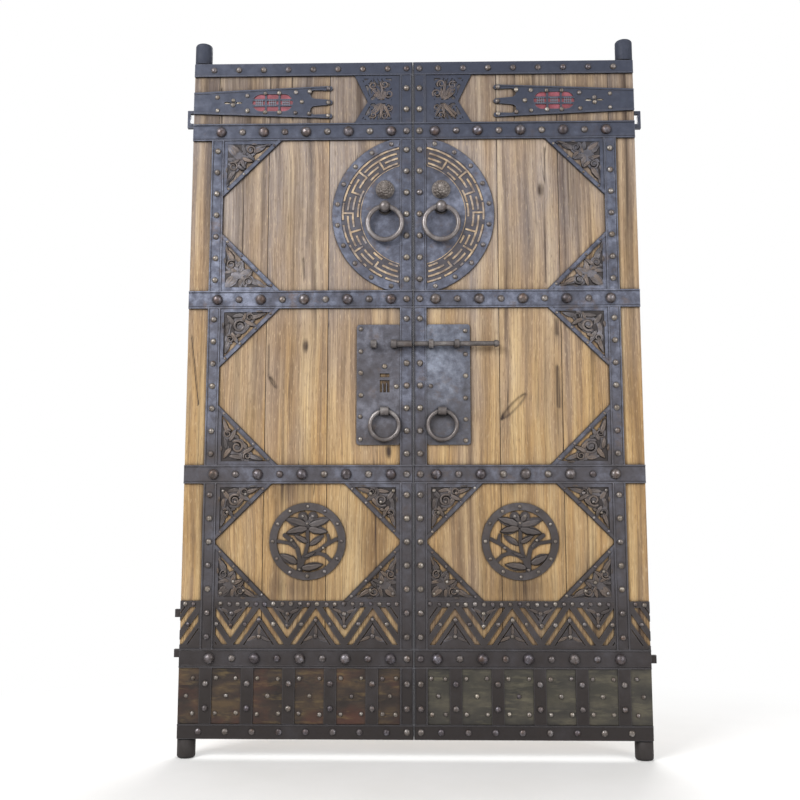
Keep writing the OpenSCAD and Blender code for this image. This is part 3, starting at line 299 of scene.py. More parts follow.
# %% Wood finish
def wood_finish(name, on_boards):
    material, tree, shader = finish(name)
    if on_boards:
        grain = point_value(tree, "grain", "Vector")
        tone = point_value(tree, "tone")
        dark = point_value(tree, "dark")
    else:
        lying = {"Vector": own_place(tree), "Rotation": (0.0, math.pi / 2, 0.0)}
        grain = add(tree, "ShaderNodeMapping", lying).outputs[0]
        tone = remap(tree, noise(tree, own_place(tree), 3.0), 0.3, 0.7, 0.0, 0.5)
        dark = remap(tree, noise(tree, own_place(tree), 5.0), 0.55, 0.8, 0.0, 0.4)
    streak = drawn_out(tree, grain, (26.0, 9.0, 0.8))
    soot = drawn_out(tree, grain, (42.0, 9.0, 1.5), (7.3, 0.0, 4.1))
    cloud = drawn_out(tree, grain, (8.0, 3.0, 2.4), (2.7, 0.0, 8.1), 3.0, 0.55)
    rings = drawn_out(tree, grain, (34.0, 5.0, 0.55), (3.1, 0.0, 1.7), 2.0, 0.4)
    band = drawn_out(tree, grain, (88.0, 22.0, 1.3), (1.9, 0.0, 5.2), 3.0)
    fibre = drawn_out(tree, grain, (210.0, 60.0, 3.2), rough=0.65)
    pores = drawn_out(tree, grain, (520.0, 120.0, 14.0), detail=2.0, rough=0.5)
    flecks = drawn_out(tree, grain, (230.0, 60.0, 36.0), (4.7, 0.0, 2.9), 2.0, 0.55)
    year = calc(tree, "PINGPONG", calc(tree, "MULTIPLY", rings, 9.0), 0.5)
    ring_line = remap(tree, year, 0.0, 0.13, 1.0, 0.0)
    off_split = calc(tree, "ABSOLUTE", calc(tree, "SUBTRACT", rings, 0.37))
    split = remap(tree, off_split, 0.0, 0.006, 1.0, 0.0)
    patchy = calc(tree, "ADD", tone, remap(tree, streak, 0.3, 0.7, -0.22, 0.22))
    patchy = calc(tree, "ADD", patchy, remap(tree, cloud, 0.3, 0.7, -0.30, 0.30))
    warm = ramp(tree, streak, (0.30, 0.50, 0.70), HONEY)
    cold = ramp(tree, streak, (0.29, 0.50, 0.71), GREY)
    colour = blend(tree, patchy, cold, warm)
    for value, span, share, shade in (
        (soot, (0.50, 0.72), (0.0, 0.38), (100, 88, 84)),
        (cloud, (0.54, 0.72), (0.0, 0.26), (112, 94, 80)),
        (band, (0.28, 0.44), (0.20, 0.0), (212, 190, 152)),
        (band, (0.54, 0.74), (0.0, 0.32), (108, 90, 76)),
        (ring_line, (0.0, 1.0), (0.0, 0.26), (98, 74, 54)),
        (fibre, (0.34, 0.56), (0.42, 0.0), (86, 66, 50)),
        (pores, (0.32, 0.44), (0.30, 0.0), (66, 50, 40)),
        (flecks, (0.58, 0.72), (0.0, 0.42), (84, 64, 50)),
        (flecks, (0.30, 0.42), (0.26, 0.0), (222, 200, 162)),
        (split, (0.0, 1.0), (0.0, 0.70), (48, 37, 31)),
    ):
        colour = layer(tree, colour, value, span, share, shade)
    # The dark share holds stains and marks, and also painted shade behind the keyhole and in the frieze
    # slots.
    stain_and_shade = calc(tree, "MULTIPLY", dark, remap(tree, band, 0.36, 0.62, 0.65, 1.25))
    colour = blend(tree, stain_and_shade, colour, screen(56, 43, 36))
    coarse = relief(tree, fibre, 0.55, 0.0012)
    lined = relief(tree, calc(tree, "ADD", ring_line, split), 0.35, -0.0012, coarse)
    # Darkening the colour by the crevice measure paints shade next to the iron fittings and between the
    # boards.
    coat(tree, shader, {
        "Base Color": layer(tree, colour, crevice(tree, 0.022), (0.10, 0.52), (0.0, 0.90), (34, 27, 24)),
        "Roughness": remap(tree, fibre, 0.3, 0.7, 0.82, 0.62),
        "Specular IOR Level": 0.3,
        "Normal": relief(tree, pores, 0.25, 0.0005, lined),
    })
    return material


HONEY = tones((143, 110, 70), (178, 145, 99), (200, 173, 129))
GREY = tones((112, 101, 97), (152, 140, 132), (181, 170, 160))
board_wood = wood_finish("board_wood", True)
batten_wood = wood_finish("batten_wood", False)
print("wood finishes:", board_wood.name, batten_wood.name)

# %% [markdown]
# Iron that a smith has blued and hammered is never one grey. Large soft patches carry the colour of the
# scale, smaller ones the wear, and rust lies in spots. Near the ground all of it turns brown with
# splashed mud, and near the top it is dark with soot. Crevices are darkened as painted shade, edges are
# brightened partly as wear and partly as painted highlight, and along the meeting edge a painted shadow
# stands in for the dark gap between the leaves.

# %% Iron finish
FULL_DIRT = 0.92
FRAME_OFF = 0.0036


def iron_colour(tree, place, shades, rust, dirt):
    patches = noise(tree, place, 7.0, 5.0, 0.6)
    scale = noise(tree, place, 38.0, 4.0, 0.6)
    mixed = calc(tree, "ADD", calc(tree, "MULTIPLY", patches, 0.5), calc(tree, "MULTIPLY", scale, 0.5))
    colour = ramp(tree, mixed, (0.36, 0.50, 0.64), shades)
    spots = remap(tree, noise(tree, place, 21.0, 5.0, 0.7), 0.56, 0.70, 0.0, 0.55)
    colour = blend(tree, spots, colour, rust)
    parts = add(tree, "ShaderNodeSeparateXYZ", {"Vector": place}).outputs
    uneven = calc(tree, "ADD", parts[2], remap(tree, patches, 0.3, 0.7, -0.18, 0.18))
    colour = layer(tree, colour, uneven, (0.55, 1.45), (0.70, 0.0), (82, 75, 73))
    colour = layer(tree, colour, uneven, (0.16, 1.10), (dirt, 0.0), (36, 30, 28))
    colour = layer(tree, colour, uneven, (1.62, 2.12), (0.0, 0.98 * dirt), (43, 48, 63))
    # A painted shadow along the meeting edge stands in for the dark gap between the leaves.
    from_middle = calc(tree, "ABSOLUTE", parts[0])
    return layer(tree, colour, from_middle, (0.0028, 0.0062), (0.92, 0.0), (20, 18, 19)), scale


def iron_finish(name, shades, rust, metal=0.45, rough=(0.62, 0.40), dirt=FULL_DIRT, hammer=0.30,
                shaded_bed=None, rub=None, frame_shades=None, worn=0.0):
    """shaded_bed: heights between which it darkens as painted shade on the sunk ground, and how far. rub:
    what the
    tint of a copy turns it to. frame_shades: for the parts that stand highest. worn: how bright the edges
    are, partly edge wear and partly painted highlight."""
    material, tree, shader = finish(name)
    place = own_place(tree)
    colour, scale = iron_colour(tree, place, shades, rust, dirt)
    out = add(tree, "ShaderNodeSeparateXYZ", {"Vector": place}).outputs[1]
    if frame_shades is not None:
        blued = iron_colour(tree, place, frame_shades, rust, FULL_DIRT)[0]
        colour = blend(tree, calc(tree, "LESS_THAN", out, WOOD_Y - FRAME_OFF), colour, blued)
    # The shaded bed darkens the sunk ground between the relief as painted shade.
    if shaded_bed is not None:
        top, low, depth = shaded_bed
        colour = layer(tree, colour, out, (WOOD_Y - top, WOOD_Y - low), (0.0, depth), (40, 33, 31))
    if rub is not None:
        colour = blend(tree, point_value(tree, "tint"), colour, rub)
    speck = noise(tree, place, 190.0, 2.0, 0.6)
    colour = layer(tree, colour, speck, (0.55, 0.72), (0.0, 0.30), (38, 36, 39))
    # The brightened edges are partly edge wear and partly a painted highlight along edges and beads.
    if worn:
        near_edge = crevice(tree, 0.0026, inside=True)
        colour = layer(tree, colour, near_edge, (0.20, 0.60), (0.0, worn), (142, 142, 150))
    dents = relief(tree, noise(tree, place, 55.0, 3.0, 0.5), hammer, 0.0012)
    # Darkening by the crevice measure is painted shade in crevices and round the studs.
    coat(tree, shader, {
        "Base Color": layer(tree, colour, crevice(tree, 0.014), (0.10, 0.50), (0.0, 0.94), (24, 21, 21)),
        "Roughness": remap(tree, scale, 0.3, 0.7, *rough),
        "Metallic": metal,
        "Normal": relief(tree, noise(tree, place, 420.0, 3.0), 0.18, 0.0003, dents),
    })
    return material


print("iron recipe ready")

# %% [markdown]
# One recipe makes every iron of the gate. Only three shades, the rust and a few settings change: the straps
# are blued, the cups black, the rings and the bolt rubbed by hands, and the chased work browner than its
# frame.

# %% Irons of the gate
RUST = screen(94, 76, 64)
WARM_RUST = screen(96, 78, 66)
BLUE_SHADES = tones((56, 57, 67), (80, 83, 97), (116, 121, 138))
DARK_SHADES = tones((52, 50, 55), (74, 74, 82), (100, 102, 114))
RUBBED_SHADES = tones((74, 69, 68), (104, 99, 98), (148, 143, 140))
BROWN_SHADES = tones((82, 74, 70), (114, 106, 101), (154, 146, 140))
CARVED_SHADES = tones((61, 57, 58), (87, 84, 88), (123, 120, 126))
SCROLL_SHADES = tones((76, 70, 69), (106, 101, 102), (146, 140, 141))
CHASED_SHADES = tones((55, 51, 51), (83, 79, 80), (121, 117, 119))
CUP_SHADES = tones((40, 40, 46), (54, 55, 64), (76, 79, 92))
PALE_SHADES = tones((64, 66, 75), (92, 96, 109), (130, 136, 150))
WARM_SHADES = tones((56, 55, 61), (80, 80, 89), (114, 115, 126))
RING_SHADES = tones((84, 78, 76), (116, 110, 109), (155, 150, 149))
HANDLED = {"metal": 0.60, "rough": (0.46, 0.28), "hammer": 0.16}
blued_iron = iron_finish("blued_iron", BLUE_SHADES, RUST, worn=0.40)
dark_iron = iron_finish("dark_iron", DARK_SHADES, screen(92, 70, 54), worn=0.26)
carved_iron = iron_finish("carved_iron", CARVED_SHADES, RUST, dirt=0.5, shaded_bed=(0.0030, 0.0018, 0.85),
                          frame_shades=BLUE_SHADES)
scroll_iron = iron_finish("scroll_iron", SCROLL_SHADES, RUST, dirt=0.2, shaded_bed=(0.0030, 0.0018, 0.30),
                          frame_shades=BLUE_SHADES)
flower_iron = iron_finish("flower_iron", CARVED_SHADES, RUST, dirt=0.75, shaded_bed=(0.0044, 0.0030, 0.5))
chased_iron = iron_finish("chased_iron", CHASED_SHADES, RUST, dirt=0.62, hammer=0.2,
                          rub=screen(128, 108, 90))
cup_iron = iron_finish("cup_iron", CUP_SHADES, screen(70, 60, 54), 0.15, (0.80, 0.60), 0.98, 0.15)
pale_plate = iron_finish("pale_plate", PALE_SHADES, RUST, worn=0.25)
warm_plate = iron_finish("warm_plate", WARM_SHADES, RUST, worn=0.25)
ring_iron = iron_finish("ring_iron", RING_SHADES, WARM_RUST, dirt=0.2, **HANDLED)
rubbed_iron = iron_finish("rubbed_iron", RUBBED_SHADES, WARM_RUST, dirt=0.25, **HANDLED)
brown_patina = iron_finish("brown_patina", BROWN_SHADES, screen(84, 66, 52), 0.35, (0.56, 0.38), 0.1)
print("iron finishes:", [m.name for m in bpy.data.materials if "iron" in m.name])

# %% [markdown]
# The thin kick sheets have gone their own ways: the left one brown, the right one a dull green, both with
# smoky patches that run sideways and little metal left to shine. Pale streaks on them are partly patina
# and partly painted sheen. The inlay behind the fishtail strap is red paint that has faded and chipped.
# Hollows on both are darkened as painted shade.

# %% Sheet and paint finishes
def sheet_finish(name, shades, patina_and_sheen, blush):
    material, tree, shader = finish(name)
    place = own_place(tree)
    smoke = drawn_out(tree, place, (6.0, 6.0, 15.0), detail=5.0, rough=0.62)
    warm = drawn_out(tree, place, (5.0, 5.0, 8.0), (3.7, 0.0, 1.9))
    wisps = drawn_out(tree, place, (12.0, 12.0, 58.0), (1.3, 0.0, 4.4), rough=0.65)
    colour = ramp(tree, smoke, (0.36, 0.52, 0.66), shades)
    colour = layer(tree, colour, warm, (0.50, 0.66), (0.0, 0.70), blush)
    # The pale sideways streaks are partly patina and partly a painted sheen.
    colour = layer(tree, colour, wisps, (0.54, 0.80), (0.0, 0.55), patina_and_sheen)
    # Darkening by the crevice measure is painted shade along the edges of the strips and nails.
    coat(tree, shader, {
        "Base Color": layer(tree, colour, crevice(tree, 0.022), (0.10, 0.60), (0.0, 0.85), (30, 25, 23)),
        "Roughness": remap(tree, wisps, 0.3, 0.7, 0.58, 0.40),
        "Specular IOR Level": 0.3,
        "Normal": relief(tree, noise(tree, place, 30.0, 3.0), 0.25, 0.0015),
    })
    return material


def paint_finish(name):
    material, tree, shader = finish(name)
    place = own_place(tree)
    fading = noise(tree, place, 30.0, 5.0, 0.65)
    colour = ramp(tree, fading, (0.3, 0.5, 0.72), tones((84, 34, 42), (116, 50, 60), (144, 78, 90)))
    chips = remap(tree, noise(tree, place, 90.0, 4.0, 0.7), 0.60, 0.68, 0.0, 0.8)
    colour = blend(tree, chips, colour, screen(88, 66, 60))
    # Darkening by the crevice measure is painted shade in the recess of the inlay.
    coat(tree, shader, {
        "Base Color": layer(tree, colour, crevice(tree, 0.006), (0.2, 0.8), (0.0, 0.7), (64, 34, 34)),
        "Roughness": 0.55,
        "Normal": relief(tree, chips, 0.3, -0.0004),
    })
    return material


BROWN_SHEET = tones((33, 27, 25), (50, 41, 36), (78, 63, 45))
GREEN_SHEET = tones((43, 41, 39), (60, 57, 51), (82, 77, 65))
left_sheet_iron = sheet_finish("brown_sheet", BROWN_SHEET, (130, 110, 72), (78, 49, 39))
right_sheet_iron = sheet_finish("green_sheet", GREEN_SHEET, (114, 108, 88), (53, 51, 44))
red_paint = paint_finish("red_paint")
print("sheets and paint:", left_sheet_iron.name, right_sheet_iron.name, red_paint.name)

# %% [markdown]
# The key fret stands proud of the roundel, and hands and weather have rubbed its lines to a brassy tan; the
# tan also serves as a painted highlight on the raised lines. The solid is one piece, so the finish finds the
# lines by where they are: a band of radii round the roundel's centre, and the part of the relief that is
# higher than the base plate. The sunk ground between the lines is darkened as painted shade.

# %% Roundel finish
ROUND_UP = 1.672
FRET_BAND = (0.1715, 0.2360)
FRET_FLOOR = 0.0038


def roundel_finish(name):
    material, tree, shader = finish(name)
    place = own_place(tree)
    colour, scale = iron_colour(tree, place, BLUE_SHADES, RUST, 0.0)
    parts = add(tree, "ShaderNodeSeparateXYZ", {"Vector": place}).outputs
    rise = calc(tree, "SUBTRACT", parts[2], FOOT_Z + ROUND_UP)
    squares = calc(tree, "ADD", calc(tree, "POWER", parts[0], 2.0), calc(tree, "POWER", rise, 2.0))
    radius = calc(tree, "SQRT", squares)
    band = calc(tree, "MULTIPLY", calc(tree, "GREATER_THAN", radius, FRET_BAND[0]),
                calc(tree, "LESS_THAN", radius, FRET_BAND[1]))
    line = calc(tree, "MULTIPLY", band, calc(tree, "LESS_THAN", parts[1], WOOD_Y - FRET_FLOOR))
    # The sunk ground between the fret lines is darkened as painted shade.
    shaded_bed = calc(tree, "SUBTRACT", band, line)
    colour = blend(tree, calc(tree, "MULTIPLY", shaded_bed, 0.65), colour, screen(60, 53, 52))
    # The tan of the raised lines is partly rubbed metal and partly a painted highlight.
    rubbed = ramp(tree, scale, (0.34, 0.50, 0.66), tones((120, 102, 86), (158, 138, 114), (198, 176, 146)))
    worn = remap(tree, noise(tree, place, 26.0, 4.0, 0.6), 0.32, 0.56, 0.30, 1.0)
    colour = blend(tree, calc(tree, "MULTIPLY", line, worn), colour, rubbed)
    # Darkening by the crevice measure is painted shade beside the lines.
    coat(tree, shader, {
        "Base Color": layer(tree, colour, crevice(tree, 0.006), (0.15, 0.70), (0.0, 0.80), (34, 29, 28)),
        "Roughness": remap(tree, scale, 0.3, 0.7, 0.60, 0.40),
        "Metallic": 0.40,
        "Normal": relief(tree, noise(tree, place, 60.0, 3.0), 0.28, 0.0012),
    })
    return material


roundel_iron = roundel_finish("roundel_iron")
print("roundel finish:", roundel_iron.name)

# %% [markdown]
# Studs and nails were rubbed bright by hands, some more than others. Each head carries one number, its
# tint, and the finish mixes dark blued iron with pale worn metal by that number.

# %% Stud and nail finish
def head_finish(name):
    material, tree, shader = finish(name)
    place = own_place(tree)
    scale = noise(tree, place, 60.0, 4.0, 0.6)
    blued = ramp(tree, scale, (0.34, 0.52, 0.70), tones((52, 46, 46), (80, 74, 78), (116, 114, 122)))
    pale = ramp(tree, scale, (0.34, 0.52, 0.70), tones((106, 96, 84), (146, 137, 124), (186, 179, 166)))
    colour = blend(tree, point_value(tree, "tint"), blued, pale)
    spots = noise(tree, place, 34.0, 4.0, 0.7)
    colour = layer(tree, colour, spots, (0.52, 0.70), (0.0, 0.6), (92, 68, 52))
    # Darkening by the crevice measure is painted shade where a head meets the metal under it.
    coat(tree, shader, {
        "Base Color": layer(tree, colour, crevice(tree, 0.008), (0.20, 0.75), (0.0, 0.85), (34, 28, 25)),
        "Roughness": remap(tree, scale, 0.3, 0.7, 0.48, 0.30),
        "Metallic": 0.55,
        "Normal": relief(tree, noise(tree, place, 160.0, 3.0), 0.25, 0.0008),
    })
    return material


head_metal = head_finish("stud_metal")
print("head finish:", head_metal.name)

# %% [markdown]
# The solids that already have the right shape only need their finish: straps, shoes, plates, brackets,
# rings, the bolt. A table from the last part of a solid's name to its finish does both leaves, and a second
# one names the solids whose finish differs from side to side.

# %% Finish the solids
FINISH_OF = {
    "battens": batten_wood, "pivots": dark_iron, "shoes": blued_iron, "cross_straps": blued_iron,
    "upright_straps": blued_iron, "fishtail": blued_iron, "inlay": red_paint, "scroll_plate": scroll_iron,
    "upper_brackets": carved_iron, "lower_brackets": carved_iron, "knob": ring_iron,
    "ring": ring_iron, "staple": ring_iron, "lower_ring": ring_iron,
    "medallion": flower_iron, "frieze": dark_iron, "kick_strips": dark_iron, "lugs": dark_iron,
}
finish_of = {f"{side}_{name}": material for side in SIDES for name, material in FINISH_OF.items()}
finish_of |= {
    "left_kick_sheet": left_sheet_iron, "right_kick_sheet": right_sheet_iron,
    "left_lock_plate": warm_plate, "right_lock_plate": pale_plate,
    "bolt": rubbed_iron, "bolt_keeper": rubbed_iron, "bolt_guides": rubbed_iron,
}
for name, material in finish_of.items():
    nodes[name].data.materials.clear()
    nodes[name].data.materials.append(material)
print("finished", len(finish_of), "solids")

# %% [markdown]
# A new piece is a plain mesh at the origin with its place in its points. One helper makes it from points and
# faces. The others give the faces of a tube of rings, turn a profile round an axis, which suits cups and
# domes, and put several lumps into one piece.

# %% Mesh helpers
def piece(name, points, faces, material, smooth=True):
    mesh = bpy.data.meshes.new(name)
    mesh.from_pydata([tuple(p) for p in points], [], faces)
    shell = bmesh.new()
    shell.from_mesh(mesh)
    bmesh.ops.remove_doubles(shell, verts=shell.verts, dist=1e-7)
    bmesh.ops.recalc_face_normals(shell, faces=shell.faces)
    shell.to_mesh(mesh)
    shell.free()
    mesh.polygons.foreach_set("use_smooth", [smooth] * len(mesh.polygons))
    if material is not None:
        mesh.materials.append(material)
    thing = bpy.data.objects.new(name, mesh)
    scene.collection.objects.link(thing)
    return thing


def tube_faces(rings, around, capped=True):
    """Faces between rings of points, one ring after the other, with or without the two ends."""
    faces = []
    for j in range(rings - 1):
        for i in range(around):
            k = (i + 1) % around
            faces.append((j * around + i, j * around + k, (j + 1) * around + k, (j + 1) * around + i))
    if capped:
        faces.append(tuple(range(around)))
        faces.append(tuple((rings - 1) * around + i for i in range(around)))
    return faces


def turned(profile, steps, place, axis="Z", way=1.0):
    points = []
    for radius, along in profile:
        for i in range(steps):
            angle = 2 * math.pi * i / steps
            a, b = radius * math.cos(angle), radius * math.sin(angle)
            local = (a, b, way * along) if axis == "Z" else (a, way * along, b)
            points.append(Vector(place) + Vector(local))
    return points, tube_faces(len(profile), steps, capped=False)


def merge_parts(parts):
    points, faces = [], []
    for part_points, part_faces in parts:
        start = len(points)
        points += part_points
        faces += [tuple(i + start for i in face) for face in part_faces]
    return points, faces


print("a tube of 3 rings of 8 points has", len(tube_faces(3, 8)), "faces")

# %% [markdown]
# The boards carry the marks of their age: knots, cracks, gouges, stains and a damp foot. Two darkenings
# among them are painted shade: one stain behind the keyhole of the left lock plate, and the damp foot where
# it reaches into the frieze slots, which is partly damp and partly painted shade under the frieze. Each mark
# is a row of distances on the leaf, across and up. A knot has its size after its place, a crack and a gouge
# have two ends and a width, and a stain has a place, two reaches and a strength.

# %% Board facts
BOARDS = {
    "stile": (0.0, 0.085), "board_a": (0.086, 0.256), "board_b": (0.257, 0.457), "board_c": (0.458, 0.735),
}
BOARD_FOOT = 0.005
BOARD_HEAD = 2.195
COLUMN = 0.0034
ROW = 0.009
FINE_ROW = 0.0031
FINE_UP = {"left": (1.085, 1.150), "right": (0.975, 1.095)}
EASE = 0.0022
BACK_WEAR = 0.6
DEEPEST = 0.004
KNOT_DEPTH = 0.0012
CRACK_DEPTH = 0.0025
GOUGE_DEPTH = 0.0034
RING_WEAR = 0.00045
FIBRE_WEAR = 0.00022
TOP_SOOT = 0.30
SOOT_FROM = 1.95
DAMP_AND_SHADE_BELOW = 0.43
KNOTS = {
    "left": [(0.385, 1.235, 0.011), (0.655, 0.890, 0.012)],
    "right": [(0.315, 1.755, 0.012)],
}
CRACKS = {
    "left": [((0.375, 1.525), (0.379, 1.455), 0.0022), ((0.265, 1.240), (0.267, 1.140), 0.0020),
             ((0.012, 1.270), (0.040, 1.040), 0.0020),
             ((0.170, 1.900), (0.174, 1.470), 0.0016), ((0.330, 2.150), (0.332, 2.000), 0.0016),
             ((0.090, 2.120), (0.094, 1.990), 0.0018), ((0.615, 0.700), (0.618, 0.470), 0.0016)],
    "right": [((0.272, 1.165), (0.268, 1.035), 0.0052),
              ((0.272, 1.315), (0.271, 1.270), 0.0058), ((0.300, 1.900), (0.304, 1.440), 0.0016),
              ((0.186, 0.760), (0.190, 0.430), 0.0016), ((0.395, 2.150), (0.398, 2.000), 0.0016)],
}
GOUGES = {
    "left": [((0.267, 1.135), (0.292, 1.098), 0.004)],
    "right": [((0.452, 0.995), (0.376, 1.074), 0.010)],
}
STAINS_AND_SHADE = {
    "left": [
        (0.17, 1.86, 0.05, 0.22, 0.55), (0.33, 1.70, 0.035, 0.20, 0.50), (0.12, 2.08, 0.09, 0.10, 0.45),
        (0.40, 1.20, 0.03, 0.10, 0.35), (0.55, 2.06, 0.03, 0.08, 0.30), (0.20, 0.98, 0.04, 0.12, 0.25),
        (0.60, 0.62, 0.08, 0.17, 0.66), (0.34, 0.78, 0.06, 0.07, 1.20), (0.37, 0.46, 0.12, 0.05, 1.00),
        # The last left entry is no stain: it paints the shadow on the wood seen through the keyhole of the
        # lock plate.
        (0.13, 0.60, 0.02, 0.06, 0.70), (0.30, 0.50, 0.015, 0.09, 0.80), (0.644, 1.108, 0.026, 0.040, 1.40),
    ],
    "right": [
        (0.18, 1.84, 0.06, 0.22, 0.55), (0.36, 1.62, 0.05, 0.24, 0.24), (0.27, 1.10, 0.018, 0.10, 0.60),
        (0.27, 1.265, 0.015, 0.04, 0.60), (0.30, 2.08, 0.10, 0.09, 0.40), (0.45, 1.00, 0.04, 0.10, 0.25),
        (0.58, 0.62, 0.08, 0.17, 0.46), (0.40, 0.46, 0.12, 0.06, 1.20), (0.42, 0.79, 0.03, 0.05, 0.90),
        (0.20, 0.50, 0.04, 0.08, 0.60),
    ],
}
DAMP_AND_SHADE = {"left": 0.16, "right": 0.36}
STREAKS = 16
SWELL = 0.00045
HALF_T = (BACK_Y - WOOD_Y) / 2
TONE = {"stile": 0.10, "board_a": 0.08, "board_b": 0.02, "board_c": 0.02}
print(len(BOARDS), "boards a leaf,", sum(len(CRACKS[side]) for side in SIDES), "cracks")

# %% [markdown]
# Each board is lofted. The section, with eased corners, runs once round the board, and a number for each of
# its points says how much weather reaches it: all of it in front, less on the back, none on the edges.

# %% Board section
def board_section(width):
    count = int((width - 2 * EASE) / COLUMN) + 2
    face = np.linspace(EASE, width - EASE, count)
    rear = np.linspace(width - EASE, EASE, count // 2)
    thick = BACK_Y - WOOD_Y
    ease = 0.3 * EASE
    corner = [(width - ease, ease), (width, EASE), (width, 0.3 * thick)]
    far = [(width, 0.7 * thick), (width, thick - EASE), (width - ease, thick - ease)]
    near = [(ease, thick - ease), (0.0, thick - EASE), (0.0, EASE), (ease, ease)]
    section = [(a, 0.0) for a in face] + corner + far + [(a, thick) for a in rear] + near
    on_face = np.array([1.0] * count + [0.0] * 6 + [BACK_WEAR] * (count // 2) + [0.0] * 4)
    return np.array(section), on_face


print("stile section", len(board_section(BOARDS["stile"][1])[0]), "points")

# %% [markdown]
# Knots bend the grain lines round them and go right through a board. Cracks and gouges are cut into the
# front only. Soft wood between the year rings has worn away, so the surface also dips along the grain, by
# an amount that wavers across the board. All of it is worked out for a whole board at once, as arrays.

# %% Weather on a board
def wavering(rng, values, step, size):
    low = values.min()
    marks = np.arange(low - step, values.max() + 2 * step, step)
    return np.interp(values, marks, rng.normal(0.0, size, len(marks)))


def segment_distance(across, up, start, end):
    start, end = np.array(start), np.array(end)
    along = end - start
    share = ((across - start[0]) * along[0] + (up - start[1]) * along[1]) / (along @ along)
    share = np.clip(share, 0.0, 1.0)
    return np.hypot(across - start[0] - share * along[0], up - start[1] - share * along[1]), share


def weather(side, board, across, up, on_face, rng):
    drift = wavering(rng, up[:, 0], 0.26, 0.0035)[:, None]
    bent = across + drift
    dark = np.zeros_like(across)
    hollow = np.zeros_like(across)
    for knot_across, knot_up, size in KNOTS[side]:
        reach = ((across - knot_across) / size) ** 2 + ((up - knot_up) / (2.1 * size)) ** 2
        bent = bent - (across - knot_across) * 0.50 * np.exp(-0.35 * reach)
        dark += 0.85 * np.exp(-1.6 * reach ** 2)
        hollow += KNOT_DEPTH * np.exp(-1.2 * reach)
    through = dark.copy(), hollow.copy()
    for start, end, width in CRACKS[side]:
        gap = np.exp(-(segment_distance(across, up, start, end)[0] / width) ** 2)
        dark += 0.9 * gap
        hollow += CRACK_DEPTH * gap
    for start, end, width in GOUGES[side]:
        away, share = segment_distance(across, up, start, end)
        half = width * np.sqrt(np.clip(4.0 * share * (1.0 - share), 0.05, 1.0))
        dark += 0.58 * np.exp(-((away - half) / 0.0040) ** 2)
        dark += 0.70 * np.exp(-(share / 0.25) ** 2 - (away / half) ** 2)
        hollow += GOUGE_DEPTH * np.exp(-(away / half) ** 4)
    dark += TOP_SOOT * np.clip((up - SOOT_FROM) / 0.06, 0.0, 1.0)
    # Below the frieze top the wood is darkened, partly as a damp stain and partly as painted shade in the
    # frieze slots.
    dark += DAMP_AND_SHADE[side] * np.clip((DAMP_AND_SHADE_BELOW - up) / 0.03, 0.0, 1.0)
    for a, u, size_a, size_u, strength in STAINS_AND_SHADE[side]:
        dark += 0.5 * strength * np.exp(-((across - a) / size_a) ** 2 - ((up - u) / size_u) ** 2)
    behind = on_face == BACK_WEAR
    dark = np.where(behind, through[0], dark)
    hollow = np.where(behind, through[1], hollow)
    for _ in range(STREAKS):
        place = rng.uniform(across.min(), across.max()), rng.uniform(0.25, 2.2)
        size = rng.uniform(0.0035, 0.0110), rng.uniform(0.07, 0.34)
        reach = ((bent - place[0]) / size[0]) ** 2 + ((up - place[1]) / size[1]) ** 2
        dark += rng.uniform(0.12, 0.44) * np.exp(-reach)
    worn = wavering(rng, bent.ravel(), 0.0075, 0.5).reshape(bent.shape)
    fine = wavering(rng, bent.ravel(), 0.0032, 0.5).reshape(bent.shape)
    hollow += RING_WEAR * (1.0 + worn) + FIBRE_WEAR * (1.0 + fine)
    tone = 1.0 - 0.90 * np.clip((up - 0.70) / 1.05, 0.0, 1.0) + TONE[board]
    tone = tone + wavering(rng, bent.ravel(), 0.042, 0.18).reshape(bent.shape)
    hollow = np.clip(hollow, 0.0, DEEPEST) * on_face
    return bent, np.clip(dark, 0.0, 1.0), hollow, np.clip(tone, 0.0, 1.0)


print("weather reaches", round(1000 * DEEPEST), "mm deep at most")

# %% [markdown]
# Rows of the section, pressed in by the weather, make a closed tube. Where a gouge lies, the rows are closer.
# What the shader needs, such as the bent grain, the tone and the dark places, is stored on the points.

# %% Make the boards
def store(thing, name, values):
    vector = values.ndim == 2
    layer_of = thing.data.attributes.new(name, "FLOAT_VECTOR" if vector else "FLOAT", "POINT")
    layer_of.data.foreach_set("vector" if vector else "value", values.astype(np.float32).ravel())


def make_board(side, board, seed):
    rng = np.random.default_rng(seed)
    left, right = BOARDS[board]
    section, on_face = board_section(right - left)
    rows = np.linspace(BOARD_FOOT, BOARD_HEAD, int((BOARD_HEAD - BOARD_FOOT) / ROW))
    rows = np.unique(np.concatenate([rows, np.arange(*FINE_UP[side], FINE_ROW)]))
    across = np.tile(left + section[:, 0], (len(rows), 1))
    up = np.repeat(rows[:, None], len(section), 1)
    bent, dark, hollow, tone = weather(side, board, across, up, on_face, rng)
    depth = np.tile(section[:, 1], (len(rows), 1))
    front = depth < 0.5 * (BACK_Y - WOOD_Y)
    depth = np.where(front, depth + hollow, depth - hollow)
    if board == "board_c":
        at_edge = section[:, 0] > right - left - 1e-6
        half_way = np.abs(section[:, 1] - HALF_T) < 0.5 * HALF_T
        across = across + SWELL * (at_edge & half_way)
    points = np.stack([SIDES[side] * (OUTER_X - across), WOOD_Y + depth, FOOT_Z + up], 2).reshape(-1, 3)
    thing = piece(f"{side}_{board}_wood", points, tube_faces(len(rows), len(section)), board_wood)
    store(thing, "grain", np.stack([bent + 3.0 * seed, depth, up + 0.7 * seed], 2).reshape(-1, 3))
    store(thing, "tone", tone.ravel())
    store(thing, "dark", dark.ravel())
    return thing


